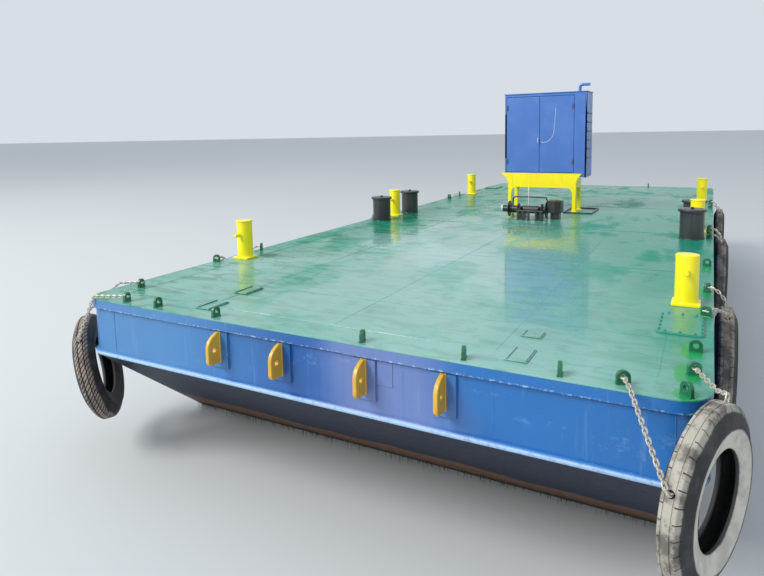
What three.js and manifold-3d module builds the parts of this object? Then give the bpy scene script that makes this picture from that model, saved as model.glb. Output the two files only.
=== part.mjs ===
// Flat-top steel work barge, raked at both ends, with its deck gear.
// Millimetres. X starboard, Y forward, Z up. Origin at the middle of the flat hull bottom.

import * as THREE from 'three';
import { mergeVertices } from 'three/addons/utils/BufferGeometryUtils.js';
import Module from 'manifold-3d';

const wasm = await Module();
wasm.setup();

// Hull, driving dimensions
const LENGTH = 12190;
const BEAM = 4880;
const DEPTH = 1830;
const CORNER_RADIUS = 200;
const HEADLOG_HEIGHT = 505;
const RAKE_RUN = 1680;
const GAP = 0.3;

// Plating that stands on the hull
const DECK_PLATE = 10;
const STRINGER_WIDTH = 280;
const HEADLOG_PLATE = 20;
const STRIP_PROUD = 25;
const STRIP_HEIGHT = 85;
const HEADLOG_RETURN = 650;
const CORNER_STEPS = 6;
const AFT_PLATE = { half: 1080, front: 5850 };

const HALF_LENGTH = LENGTH / 2;
const HALF_BEAM = BEAM / 2;
const PLATE_FACE = HALF_LENGTH - STRIP_PROUD;
const HULL_HALF_LENGTH = PLATE_FACE - HEADLOG_PLATE - GAP;
const HULL_HALF_BEAM = HALF_BEAM - STRIP_PROUD - HEADLOG_PLATE - GAP;
const HULL_RADIUS = CORNER_RADIUS - STRIP_PROUD - HEADLOG_PLATE - GAP;
const HULL_TOP = DEPTH - DECK_PLATE - GAP;
const KNUCKLE = DEPTH - HEADLOG_HEIGHT;

// Towing eyes on the headlogs, each on a doubler plate
const EYE = { thickness: 30, height: 238, reach: 125, nose: 40, slopeFrom: 10, hole: 42, holeOut: 62,
  holeDown: 5, below: 212 };
const DOUBLER = { width: 170, thick: 16, bottom: 375, step: 4 };
const EYE_STATIONS = [-866, -279, 410, 976];

// Mooring bollards, in port and starboard pairs along the deck edge, each with a horn that points aft.
// The aft one to starboard is cut shorter, and its lid is flush with the post.
const BOLLARD = { radius: 86, height: 430, cap: 94, capThick: 14, chamfer: 4, base: 206, baseThick: 16,
  horn: 20, hornReach: 165, hornHeight: 270 };
const SHORT_BOLLARD = { ...BOLLARD, height: 395, cap: 86 };
const BOLLARD_INSET = 195;
const BOLLARD_STATIONS = { aft: 1920, mid: 5650, fore: 9350 };

// Pairs of stout black bitts either side of the middle bollards
const BITT = { radius: 138, height: 370, cap: 162, rim: 33, rimEdge: 6, knob: 20, knobHeight: 24 };
const BITT_INSET = 245;
const BITT_STATIONS = { aft: 5095, fore: 6115 };

// Deck sockets, manhole covers and pad-eyes
const SOCKET = { width: 145, plate: 6, bar: 12, barHeight: 14, margin: 8 };
const SOCKET_PLACES = [
  { name: 'deck_socket_port_1', x: -1180, station: 290, length: 240 },
  { name: 'deck_socket_port_2', x: -1218, station: 780, length: 240 },
  { name: 'deck_socket_starboard_1', x: 1385, station: 270, length: 240 },
  { name: 'deck_socket_starboard_2', x: 1357, station: 680, length: 130 },
];
const MANHOLE = { width: 300, length: 490, corner: 40, frame: 6, step: 8, lid: 12,
  stud: 9, studHigh: 26, studIn: 18, column: 5, row: 3, pitch: 92 };
const MANHOLE_PLACES = [
  { name: 'manhole_cover_aft', x: 2237, station: 1320 },
  { name: 'manhole_cover_fore', x: -2237, station: LENGTH - 1320 },
];
const PAD_EYE = { width: 90, height: 82, thick: 25, hole: 17, holeUp: 41 };

// Tyre fenders: each pair is [distance from the axle, half the width there]. The port corner's tyre is wider.
const NARROW_TYRE = { radius: 465, crown: 37, shoulder: [415, 60], widest: [360, 82], bead: [252, 60] };
const WIDE_TYRE = { radius: 500, crown: 40, shoulder: [470, 66], widest: [400, 100], bead: [272, 58] };
const TYRE_WALL = 20;
const TYRE_STEPS = 16;
const TYRE_HOLE = 26;
const TYRE_CLEAR = 12;
const CHAIN_RADIUS = 13;
const CHAIN_SIDES = 6;
const CHAIN_OUT = 36;
const CHAIN_IN = 62;
const CHAIN_CROSSING = 82;

// Machinery cabinet on its stand
const CABINET = { x0: -766, x1: 588, front: 6965, depth: 500, floor: 590, top: 1975, wall: 25 };
const CABINET_DOORS = { left: 25, right: 198, top: 40, bottom: 72, gap: 6, meet: 3, thick: 22, axisProud: 9 };
const HINGE = { pin: 7, pinHalf: 42, leaf: 24, leafHalf: 38, places: [0.14, 0.86] };
const LOCK = { height: 1216, radius: 12, inset: 14, proud: 34, handle: 44, up: 30, down: 60 };
const CABINET_ROOF = { thick: 14, over: 12 };
const LOUVRE = { count: 6, length: 400, height: 24, first: 308, pitch: 145 };
const POWER_PACK = { width: 820, depth: 320, height: 760, x: -200, back: 30 };
const EXHAUST = { radius: 24, rise: 116, bend: 50, x: 430, back: 265, out: 110, collar: 12 };
const STAND = { left: -706, right: 434, front: 6950, back: 7405, leg: 60, apronTop: 650, apronBottom: 408,
  flareStart: 465, flareLeft: -835, flareRight: 528, archWide: 90, archHigh: 130, sheet: 8,
  foot: 110, footThick: 10, trayLeft: -760, trayRight: 528, trayBack: 7455 };

// Deck winch: the drum turns in two brackets, behind a front rail on five legs
const WINCH = { axisY: 6130, axisZ: 138, left: -554, right: 168, shaft: 20, bracket: 14, play: 2 };
const WINCH_BARRELS = [
  { x0: -554, x1: -250, radius: 54 },
  { x0: -206, x1: 28, radius: 57 },
  { x0: 72, x1: 160, radius: 54 },
];
const WINCH_DISCS = [
  { x: -430, radius: 125, thick: 10 },
  { x: -285, radius: 95, thick: 10 },
  { x: 86, radius: 95, thick: 10 },
  { x: 155, radius: 125, thick: 10 },
];
const WINCH_BRACKETS = { places: [-228, 50], out: 245, topHalf: 48, top: 186, frontTop: 158, backTop: 40 };
const WINCH_LEGS = { places: [-228, -151, -67, 50, 122], width: 32, back: 230, rail: 14, railHeight: 138 };
const WINCH_GUARD = { left: -430, right: 122, forward: 185, shoulder: 250, top: 310, bend: 60, radius: 11,
  sill: 60 };
const BRAKE_LEVER = { x: -172, radius: 13, top: 470 };
const WINCH_MOTOR = { x0: 175, x1: 385, aft: 50, fore: 170, low: 100, top: 285, footIn: 40 };

// Flat open rack on the deck, round the feet of the stand's two starboard legs
const RACK = { x0: 240, x1: 705, y0: 6900, y1: 7610, bar: 22, high: 18 };

// Finishes
const paint = (name, color, roughness = 0.5, metalness = 0.1) =>
  new THREE.MeshStandardMaterial({ name, color, roughness, metalness });
const FINISH = {
  hullBlue: paint('hull_blue', 0x2f62a8, 0.45),
  deckGreen: paint('deck_green', 0x5fa58a, 0.25),
  yellow: paint('safety_yellow', 0xf2d516, 0.4),
  black: paint('bitt_black', 0x17191b, 0.5),
  cabinetBlue: paint('cabinet_blue', 0x4f7fcb, 0.45),
  rubber: paint('tyre_rubber', 0x5a5652, 0.9, 0),
  chain: paint('galvanised_chain', 0x9c9a90, 0.5, 0.8),
  steel: paint('bare_steel', 0x5c5f60, 0.5, 0.7),
  grey: paint('machine_grey', 0x6a6e70, 0.6, 0.3),
};

const root = new THREE.Group();

function addMesh(name, geometry, material, parent = root) {
  const mesh = new THREE.Mesh(geometry, material);
  mesh.name = name;
  parent.add(mesh);
  return mesh;
}

// A closed geometry as a solid that can be joined and cut.
function solidOf(geometry) {
  const bare = geometry.clone();
  bare.deleteAttribute('normal');
  bare.deleteAttribute('uv');
  const merged = mergeVertices(bare, 0.001);
  return new wasm.Manifold(new wasm.Mesh({
    numProp: 3,
    vertProperties: new Float32Array(merged.attributes.position.array),
    triVerts: new Uint32Array(merged.index.array),
  }));
}

function geometryOf(solid) {
  const mesh = solid.getMesh();
  const geometry = new THREE.BufferGeometry();
  geometry.setAttribute('position', new THREE.BufferAttribute(new Float32Array(mesh.vertProperties), 3));
  geometry.setIndex(new THREE.BufferAttribute(new Uint32Array(mesh.triVerts), 1));
  geometry.computeVertexNormals();
  return geometry;
}

const joined = (geometries) => geometryOf(geometries.map(solidOf).reduce((all, next) => all.add(next)));

function cutFrom(body, tools) {
  return geometryOf(tools.map(solidOf).reduce((left, tool) => left.subtract(tool), solidOf(body)));
}

// A box between two corners.
function box(x0, x1, y0, y1, z0, z1) {
  const geometry = new THREE.BoxGeometry(x1 - x0, y1 - y0, z1 - z0);
  return geometry.translate((x0 + x1) / 2, (y0 + y1) / 2, (z0 + z1) / 2);
}

// A round bar between two points.
function rod(from, to, radius, sides = 12) {
  const a = new THREE.Vector3(...from);
  const b = new THREE.Vector3(...to);
  const along = b.clone().sub(a);
  const geometry = new THREE.CylinderGeometry(radius, radius, along.length(), sides);
  const turn = new THREE.Quaternion().setFromUnitVectors(new THREE.Vector3(0, 1, 0), along.normalize());
  return geometry.applyQuaternion(turn).translate(...a.add(b).multiplyScalar(0.5).toArray());
}

// A turned shape standing on Z, from [radius, height] pairs that start and end on the axis.
function turned(profile, steps = 20) {
  const geometry = new THREE.LatheGeometry(profile.map(([r, z]) => new THREE.Vector2(r, z)), steps);
  return geometry.rotateX(Math.PI / 2);
}

// A flat shape with a thickness and square edges.
function extruded(shape, depth, curveSegments) {
  return new THREE.ExtrudeGeometry(shape, { depth, bevelEnabled: false, curveSegments });
}

// A plate drawn in X and Z, with its thickness along Y from y0 to y1.
function plateXZ(shape, y0, y1) {
  const geometry = extruded(shape, y1 - y0, 8);
  return geometry.rotateX(Math.PI / 2).translate(0, y1, 0);
}

// Turns a shape that was drawn in Y and Z, so that its thickness runs along X from x0.
function alongX(geometry, x0) {
  return geometry.applyMatrix4(new THREE.Matrix4().set(0, 0, 1, x0, 1, 0, 0, 0, 0, 1, 0, 0, 0, 0, 0, 1));
}

// A tube along straight runs with its corners rounded by a smooth curve.
function tube(points, radius, sides, steps, tension) {
  const stops = points.map((p) => new THREE.Vector3(...p));
  const route = new THREE.CatmullRomCurve3(stops, false, 'catmullrom', tension);
  const section = new THREE.Shape();
  for (let i = 0; i < sides; i += 1) {
    const angle = (2 * Math.PI * i) / sides;
    section[i === 0 ? 'moveTo' : 'lineTo'](radius * Math.cos(angle), radius * Math.sin(angle));
  }
  section.closePath();
  return new THREE.ExtrudeGeometry(section, { steps, extrudePath: route, bevelEnabled: false });
}

// A many-sided bar that turns at each point of a route, with flat ends.
function polyBar(points, radius, sides) {
  const route = points.map((p) => new THREE.Vector3(...p));
  const last = route.length - 1;
  const heading = (i, j) => route[j].clone().sub(route[i]).normalize();
  const tangents = route.map((_, i) => {
    const before = heading(Math.max(i - 1, 0), Math.max(i, 1));
    const after = heading(Math.min(i, last - 1), Math.min(i + 1, last));
    return before.add(after).normalize();
  });
  let across = new THREE.Vector3(0, 0, 1).cross(tangents[0]).normalize();
  const positions = [];
  route.forEach((point, i) => {
    across = across.clone().projectOnPlane(tangents[i]).normalize();
    const up = tangents[i].clone().cross(across);
    for (let k = 0; k < sides; k += 1) {
      const angle = (2 * Math.PI * k) / sides;
      const offset = across.clone().multiplyScalar(Math.cos(angle)).addScaledVector(up, Math.sin(angle));
      positions.push(...offset.multiplyScalar(radius).add(point).toArray());
    }
  });
  const index = [];
  for (let i = 0; i < last; i += 1) {
    for (let k = 0; k < sides; k += 1) {
      const [a, b] = [i * sides + k, i * sides + ((k + 1) % sides)];
      index.push(a, b, b + sides, a, b + sides, a + sides);
    }
  }
  for (let k = 1; k < sides - 1; k += 1) {
    index.push(0, k + 1, k, last * sides, last * sides + k, last * sides + k + 1);
  }
  const geometry = new THREE.BufferGeometry();
  geometry.setAttribute('position', new THREE.Float32BufferAttribute(positions, 3));
  geometry.setIndex(index);
  return geometry;
}

// The rounded rectangle that the deck has in plan.
function planShape(halfBeam, halfLength, radius) {
  const shape = new THREE.Shape();
  shape.moveTo(halfBeam, -halfLength + radius);
  shape.lineTo(halfBeam, halfLength - radius);
  shape.absarc(halfBeam - radius, halfLength - radius, radius, 0, Math.PI / 2);
  shape.lineTo(-halfBeam + radius, halfLength);
  shape.absarc(-halfBeam + radius, halfLength - radius, radius, Math.PI / 2, Math.PI);
  shape.lineTo(-halfBeam, -halfLength + radius);
  shape.absarc(-halfBeam + radius, -halfLength + radius, radius, Math.PI, 1.5 * Math.PI);
  shape.lineTo(halfBeam - radius, -halfLength);
  shape.absarc(halfBeam - radius, -halfLength + radius, radius, 1.5 * Math.PI, 2 * Math.PI);
  return shape;
}

// An arc in a shape gets twice its curveSegments, so half of them matches the headlog's corner.
function planSolid(halfBeam, halfLength, radius, z0, z1) {
  return extruded(planShape(halfBeam, halfLength, radius), z1 - z0, CORNER_STEPS / 2).translate(0, 0, z0);
}

// Stations count forward from the aft edge of the deck.
const atStation = (station) => station - HALF_LENGTH;

// Hull: the side outline with its two rakes, across the beam, rounded at the corners in plan.
function makeHull() {
  const bottomHalf = HALF_LENGTH - RAKE_RUN;
  const outline = new THREE.Shape([
    new THREE.Vector2(-HULL_HALF_LENGTH, KNUCKLE),
    new THREE.Vector2(-bottomHalf, 0),
    new THREE.Vector2(bottomHalf, 0),
    new THREE.Vector2(HULL_HALF_LENGTH, KNUCKLE),
    new THREE.Vector2(HULL_HALF_LENGTH, HULL_TOP),
    new THREE.Vector2(-HULL_HALF_LENGTH, HULL_TOP),
  ]);
  const block = new THREE.ExtrudeGeometry(outline, { depth: BEAM, bevelEnabled: false });
  alongX(block, -HALF_BEAM);
  const plan = planSolid(HULL_HALF_BEAM, HULL_HALF_LENGTH, HULL_RADIUS, -10, DEPTH);
  return geometryOf(solidOf(block).intersect(solidOf(plan)));
}

// The line that the headlog follows round one end, with its outward directions in plan.
function headlogPath(end) {
  const points = [];
  const cornerX = HULL_HALF_BEAM - HULL_RADIUS;
  const cornerY = HULL_HALF_LENGTH - HULL_RADIUS;
  points.push({ x: HULL_HALF_BEAM, y: HULL_HALF_LENGTH - HEADLOG_RETURN, nx: 1, ny: 0 });
  for (const side of [1, -1]) {
    for (let i = 0; i <= CORNER_STEPS; i += 1) {
      const turn = (Math.PI / 2) * (side === 1 ? i / CORNER_STEPS : 1 - i / CORNER_STEPS);
      const nx = side * Math.cos(turn);
      const ny = Math.sin(turn);
      points.push({ x: side * cornerX + HULL_RADIUS * nx, y: cornerY + HULL_RADIUS * ny, nx, ny });
    }
  }
  points.push({ x: -HULL_HALF_BEAM, y: HULL_HALF_LENGTH - HEADLOG_RETURN, nx: -1, ny: 0 });
  const flipped = points.map((p) => ({ x: -p.x, y: -p.y, nx: -p.nx, ny: -p.ny }));
  return end === 'fore' ? points : flipped;
}

// A section of [outward, height] pairs carried along a path in plan, with flat ends.
function band(path, section) {
  const count = section.length;
  const positions = path.flatMap((p) => section.flatMap(([out, z]) => [p.x + p.nx * out, p.y + p.ny * out, z]));
  const index = [];
  for (let i = 0; i < path.length - 1; i += 1) {
    for (let j = 0; j < count; j += 1) {
      const k = (j + 1) % count;
      const [a, b, c, d] = [i * count + j, i * count + k, (i + 1) * count + k, (i + 1) * count + j];
      index.push(a, d, c, a, c, b);
    }
  }
  const faces = THREE.ShapeUtils.triangulateShape(section.map(([x, z]) => new THREE.Vector2(x, z)), []);
  const last = (path.length - 1) * count;
  for (const [a, b, c] of faces) {
    index.push(a, b, c);
    index.push(last + a, last + c, last + b);
  }
  const geometry = new THREE.BufferGeometry();
  geometry.setAttribute('position', new THREE.Float32BufferAttribute(positions, 3));
  geometry.setIndex(index);
  return geometry;
}

// Headlog: plate, half-round knuckle bar below, sheer strip above, and the doublers under the eyes.
function makeHeadlog(end) {
  const plate = HEADLOG_PLATE + GAP;
  const bar = STRIP_PROUD;
  const section = [[GAP, KNUCKLE]];
  for (let i = 0; i <= 4; i += 1) {
    const turn = -Math.PI / 2 + (Math.PI * i) / 4;
    section.push([plate + bar * Math.cos(turn), KNUCKLE + bar + bar * Math.sin(turn)]);
  }
  section.push(
    [plate, DEPTH - STRIP_HEIGHT],
    [plate + STRIP_PROUD, DEPTH - STRIP_HEIGHT],
    [plate + STRIP_PROUD, HULL_TOP],
    [GAP, HULL_TOP],
  );
  const sign = end === 'fore' ? 1 : -1;
  const face = sign * PLATE_FACE;
  const { width, thick, bottom, step } = DOUBLER;
  const doublers = EYE_STATIONS.map((x) => {
    const y = [face - sign, face + sign * thick].sort((a, b) => a - b);
    return box(x - width / 2, x + width / 2, y[0], y[1], DEPTH - bottom, DEPTH - STRIP_HEIGHT - step);
  });
  return joined([band(headlogPath(end), section), ...doublers]);
}

// One towing eye: an upright plate with an upright nose, a sloping back and a hole.
function makeTowEye(x, end) {
  const { thickness, height, reach, nose, slopeFrom, hole, holeOut, holeDown, below } = EYE;
  const half = height / 2;
  const shape = new THREE.Shape();
  shape.moveTo(0, -half);
  shape.lineTo(reach - nose, -half);
  shape.absarc(reach - nose, nose - half, nose, -Math.PI / 2, 0);
  shape.lineTo(reach, slopeFrom);
  shape.quadraticCurveTo(reach, half * 0.75, reach * 0.2, half);
  shape.lineTo(0, half);
  shape.closePath();
  const bore = new THREE.Path();
  bore.absarc(holeOut, -holeDown, hole / 2, 0, 2 * Math.PI, true);
  shape.holes.push(bore);
  const plate = extruded(shape, thickness, 4);
  const sign = end === 'fore' ? 1 : -1;
  const start = sign * (PLATE_FACE + DOUBLER.thick + GAP);
  plate.translate(0, 0, -thickness / 2);
  plate.rotateX(Math.PI / 2);
  plate.rotateZ(sign * Math.PI / 2);
  return plate.translate(x, start, DEPTH - below);
}

// A strip along each side under the deck edge, between the two headlogs' returns.
function makeRubStrake(side) {
  const y = HULL_HALF_LENGTH - HEADLOG_RETURN - GAP;
  const inner = HULL_HALF_BEAM + GAP;
  const x = [side * inner, side * HALF_BEAM].sort((a, b) => a - b);
  return box(x[0], x[1], -y, y, DEPTH - STRIP_HEIGHT, HULL_TOP);
}

function makeBollard({ radius, height, cap, capThick, chamfer, base, baseThick, horn, hornReach, hornHeight }) {
  const post = turned([[0, 0], [radius, 0], [radius, height - capThick], [cap, height - capThick],
    [cap, height - chamfer], [cap - chamfer, height], [0, height]], 16);
  const plate = box(-base / 2, base / 2, -base / 2, base / 2, 0, baseThick);
  return joined([post, plate, rod([0, 0, hornHeight], [0, -hornReach, hornHeight], horn, 8)]);
}

function makeBitt() {
  const { radius, height, cap, rim, rimEdge, knob, knobHeight } = BITT;
  const post = [[0, 0], [radius, 0], [radius, height - rim]];
  const rimIn = cap - rimEdge;
  const lid = [[rimIn, height - rim], [cap, height - rim + rimEdge], [cap, height - rimEdge], [rimIn, height]];
  const top = [[knob, height], [knob, height + knobHeight], [0, height + knobHeight]];
  return turned([...post, ...lid, ...top], 20);
}

function makeSocket(length) {
  const { width, plate, bar, barHeight, margin } = SOCKET;
  const sides = [-1, 1].map((side) => {
    const x = side * (width / 2 - bar / 2 - margin);
    return box(x - bar / 2, x + bar / 2, -length / 2 + margin, length / 2 - margin, 0, barHeight);
  });
  return joined([box(-width / 2, width / 2, -length / 2, length / 2, 0, plate), ...sides]);
}

// Manhole cover: a frame plate, the lid on it, and a stud at each step round the edge.
function makeManhole() {
  const { width, length, corner, frame, step, lid, stud, studHigh, studIn, column, row, pitch } = MANHOLE;
  const rounded = (inset, z0, z1) => {
    const shape = planShape(width / 2 - inset, length / 2 - inset, corner - inset);
    return extruded(shape, z1 - z0, 2).translate(0, 0, z0);
  };
  const studs = [];
  const addStud = (x, y) => studs.push(rod([x, y, 0], [x, y, studHigh], stud, 6));
  for (const side of [-1, 1]) {
    for (let i = 0; i < column; i += 1) {
      addStud(side * (width / 2 - studIn), (i - (column - 1) / 2) * pitch);
    }
    for (let i = 0; i < row; i += 1) {
      addStud((i - (row - 1) / 2) * pitch, side * (length / 2 - studIn));
    }
  }
  return joined([rounded(0, 0, frame), rounded(step, frame - 1, lid), ...studs]);
}

// Pad-eyes, each at {x, y} with the direction of its plate in plan, in degrees from X.
const SIDE_EYE_INSET = 50;
const padEyes = [];
function padEye(x, y, turn) {
  const eye = { x, y, turn };
  padEyes.push(eye);
  return eye;
}

function makePadEye({ x, y, turn }) {
  const { width, height, thick, hole, holeUp } = PAD_EYE;
  const shape = new THREE.Shape();
  shape.moveTo(-width / 2, -DECK_PLATE / 2);
  shape.lineTo(width / 2, -DECK_PLATE / 2);
  shape.lineTo(width / 2, height - width / 2);
  shape.absarc(0, height - width / 2, width / 2, 0, Math.PI);
  shape.closePath();
  const eye = new THREE.Path();
  eye.absarc(0, holeUp, hole, 0, 2 * Math.PI, true);
  shape.holes.push(eye);
  const plate = extruded(shape, thick, 3);
  plate.translate(0, 0, -thick / 2).rotateX(Math.PI / 2).rotateZ(THREE.MathUtils.degToRad(turn));
  return plate.translate(x, y, DEPTH);
}

// Tyre fenders: where the middle of each hangs, the way its outer face looks in plan (degrees from X),
// how far its top leans out, the height of its centre below deck, its two pad-eyes, and where each chain
// end goes through the tread, in degrees round the tyre.
const fenders = [
  { name: 'corner_starboard', tyre: NARROW_TYRE, x: 2424, y: atStation(-131), face: -20.7, lean: 1, low: 405,
    eyes: [padEye(2002, atStation(88), 0), padEye(2340, atStation(390), 0)], holes: [156, 68] },
  { name: 'corner_port', tyre: WIDE_TYRE, x: -2646, y: atStation(269), face: 221.9, lean: 12, low: 756,
    eyes: [padEye(-1945, atStation(70), 0), padEye(-2237, atStation(464), 0)], holes: [47, 110] },
];
// Three more along each side, with the stations of their pad-eyes.
const SIDE_STANDOFF = HALF_BEAM + NARROW_TYRE.widest[1] + TYRE_CLEAR;
const SIDE_FENDERS = [
  { place: 'aft', station: 2105, foreEye: 2372, aftEye: 1610 },
  { place: 'mid', station: 5500, foreEye: 5790, aftEye: 5210 },
  { place: 'fore', station: 8700, foreEye: 8990, aftEye: 8410 },
];
for (const { place, station, foreEye, aftEye } of SIDE_FENDERS) {
  for (const [sideName, side] of [['starboard', 1], ['port', -1]]) {
    const stations = side === 1 ? [foreEye, aftEye] : [aftEye, foreEye];
    const eyes = stations.map((at) => padEye(side * (HALF_BEAM - SIDE_EYE_INSET), atStation(at), 0));
    fenders.push({
      name: `${place}_${sideName}`, tyre: NARROW_TYRE, x: side * SIDE_STANDOFF, y: atStation(station),
      face: side === 1 ? 0 : 180, lean: 0, low: 515, eyes, holes: [68, 112],
    });
  }
}

// The tyre's own frame: its axle along X, outer face towards +X.
function tyreMatrix({ x, y, face, lean, low }) {
  const matrix = new THREE.Matrix4().makeRotationZ(THREE.MathUtils.degToRad(face));
  matrix.multiply(new THREE.Matrix4().makeRotationY(THREE.MathUtils.degToRad(lean)));
  return matrix.setPosition(x, y, DEPTH - low);
}

// A point in the tyre's tread plane, at an angle from its own +Y and a distance from its axle.
function tyrePoint(fender, degrees, radius, across = 0) {
  const angle = THREE.MathUtils.degToRad(degrees);
  const point = new THREE.Vector3(across, radius * Math.cos(angle), radius * Math.sin(angle));
  return point.applyMatrix4(tyreMatrix(fender));
}

// Each chained pad-eye stands square to its chain.
for (const fender of fenders) {
  fender.eyes.forEach((eye, i) => {
    const target = tyrePoint(fender, fender.holes[i], fender.tyre.radius + CHAIN_OUT);
    eye.turn = THREE.MathUtils.radToDeg(Math.atan2(target.y - eye.y, target.x - eye.x)) + 90;
  });
}

// A tyre is hollow: its wall runs from one bead over the tread to the other bead.
function makeTyre(fender) {
  const { radius, crown, shoulder, widest, bead } = fender.tyre;
  const outer = [bead, widest, shoulder, [radius, crown]];
  const inner = [
    [bead[0] + TYRE_WALL, bead[1] - TYRE_WALL],
    [widest[0], widest[1] - TYRE_WALL],
    [shoulder[0] - TYRE_WALL * 0.8, shoulder[1] - TYRE_WALL * 0.8],
    [radius - TYRE_WALL, crown - TYRE_WALL * 0.4],
  ];
  const otherSide = (points) => points.map(([r, x]) => [r, -x]).reverse();
  const section = [...inner, ...otherSide(inner), ...otherSide(outer).reverse(), ...[...outer].reverse()];
  const loop = [...section, section[0]].map(([r, x]) => new THREE.Vector2(r, x));
  const ring = new THREE.LatheGeometry(loop, TYRE_STEPS).rotateZ(-Math.PI / 2).applyMatrix4(tyreMatrix(fender));
  const drills = fender.holes.map((degrees) => {
    const from = tyrePoint(fender, degrees, radius - TYRE_WALL * 2);
    const to = tyrePoint(fender, degrees, radius + TYRE_WALL * 2);
    return rod(from.toArray(), to.toArray(), TYRE_HOLE, 6);
  });
  return cutFrom(ring, drills);
}

// How far a line in plan runs from a point on the deck to the deck's edge.
function runToEdge(point, direction) {
  const step = 4;
  let run = 0;
  const inside = (x, y) => {
    const dx = Math.max(Math.abs(x) - (HALF_BEAM - CORNER_RADIUS), 0);
    const dy = Math.max(Math.abs(y) - (HALF_LENGTH - CORNER_RADIUS), 0);
    return Math.hypot(dx, dy) < CORNER_RADIUS;
  };
  while (inside(point.x + direction.x * run, point.y + direction.y * run)) {
    run += step;
  }
  return run;
}

// A chain from one pad-eye, over the deck edge, in and out of the tyre's tread, and back to the other eye.
function makeChain(fender) {
  const { tyre, eyes, holes } = fender;
  const eyeHeight = DEPTH + PAD_EYE.holeUp;
  const half = (eye, hole) => {
    const outside = tyrePoint(fender, hole, tyre.radius + CHAIN_OUT);
    const inside = tyrePoint(fender, hole, tyre.radius - CHAIN_IN);
    const lead = new THREE.Vector2(outside.x - eye.x, outside.y - eye.y).normalize();
    const run = runToEdge(eye, lead) + CHAIN_RADIUS * 2.4;
    const behind = PAD_EYE.thick * 1.4;
    return [
      [eye.x - lead.x * behind, eye.y - lead.y * behind, eyeHeight],
      [eye.x + lead.x * PAD_EYE.thick, eye.y + lead.y * PAD_EYE.thick, eyeHeight],
      [eye.x + lead.x * run, eye.y + lead.y * run, DEPTH + CHAIN_RADIUS * 2],
      outside.toArray(),
      inside.toArray(),
    ];
  };
  const crossing = [0.2, 0.5, 0.8].map((t) => {
    return tyrePoint(fender, holes[0] + t * (holes[1] - holes[0]), tyre.radius - CHAIN_CROSSING).toArray();
  });
  const route = [...half(eyes[0], holes[0]), ...crossing, ...half(eyes[1], holes[1]).reverse()];
  return polyBar(route, CHAIN_RADIUS, CHAIN_SIDES);
}

// The deck: a clear plate aft, a plate round three sides of it, and a stringer plate along the edges
// that carries all the pad-eyes.
function makeAftPlate() {
  const { half, front } = AFT_PLATE;
  return box(-half, half, atStation(STRINGER_WIDTH + GAP), atStation(front), DEPTH - DECK_PLATE, DEPTH);
}

function makeDeck() {
  const [x, y] = [HALF_BEAM - STRINGER_WIDTH - GAP, HALF_LENGTH - STRINGER_WIDTH - GAP];
  const { half, front } = AFT_PLATE;
  const [below, above] = [DEPTH - 2 * DECK_PLATE, DEPTH + DECK_PLATE];
  const clear = box(-half - GAP, half + GAP, -HALF_LENGTH, atStation(front) + GAP, below, above);
  return cutFrom(box(-x, x, -y, y, DEPTH - DECK_PLATE, DEPTH), [clear]);
}

function makeStringer() {
  const [x, y] = [HALF_BEAM - STRINGER_WIDTH, HALF_LENGTH - STRINGER_WIDTH];
  const plate = planSolid(HALF_BEAM, HALF_LENGTH, CORNER_RADIUS, DEPTH - DECK_PLATE, DEPTH);
  const middle = box(-x, x, -y, y, DEPTH - 2 * DECK_PLATE, DEPTH + DECK_PLATE);
  return joined([cutFrom(plate, [middle]), ...padEyes.map(makePadEye)]);
}

// Cabinet: floor, back, two louvred sides, roof, and the fixed panel beside the starboard door.
function makeCabinet() {
  const { x0, x1, front, depth, floor, top, wall } = CABINET;
  const y0 = atStation(front);
  const y1 = y0 + depth;
  const z0 = DEPTH + floor;
  const z1 = DEPTH + top;
  const inner = box(x0 + wall, x1 - wall, y0 + wall, y1 - wall, z0 + wall, z1 - wall);
  const doors = CABINET_DOORS;
  const through = wall * 1.5;
  const [doorX0, doorX1] = [x0 + doors.left, x1 - doors.right];
  const opening = box(doorX0, doorX1, y0 - through, y0 + through, z0 + doors.bottom, z1 - doors.top);
  const slots = [];
  const [slotY0, slotY1] = [-1, 1].map((end) => (y0 + y1 + end * LOUVRE.length) / 2);
  for (let i = 0; i < LOUVRE.count; i += 1) {
    const z = z0 + LOUVRE.first + i * LOUVRE.pitch;
    for (const side of [x0, x1]) {
      slots.push(box(side - through, side + through, slotY0, slotY1, z, z + LOUVRE.height));
    }
  }
  const shell = solidOf(cutFrom(box(x0, x1, y0, y1, z0, z1), [inner, opening, ...slots]));
  const { thick, over } = CABINET_ROOF;
  return geometryOf(shell.add(solidOf(box(x0 - over, x1 + over, y0 - over, y1 + over, z1 - 1, z1 + thick))));
}

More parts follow.
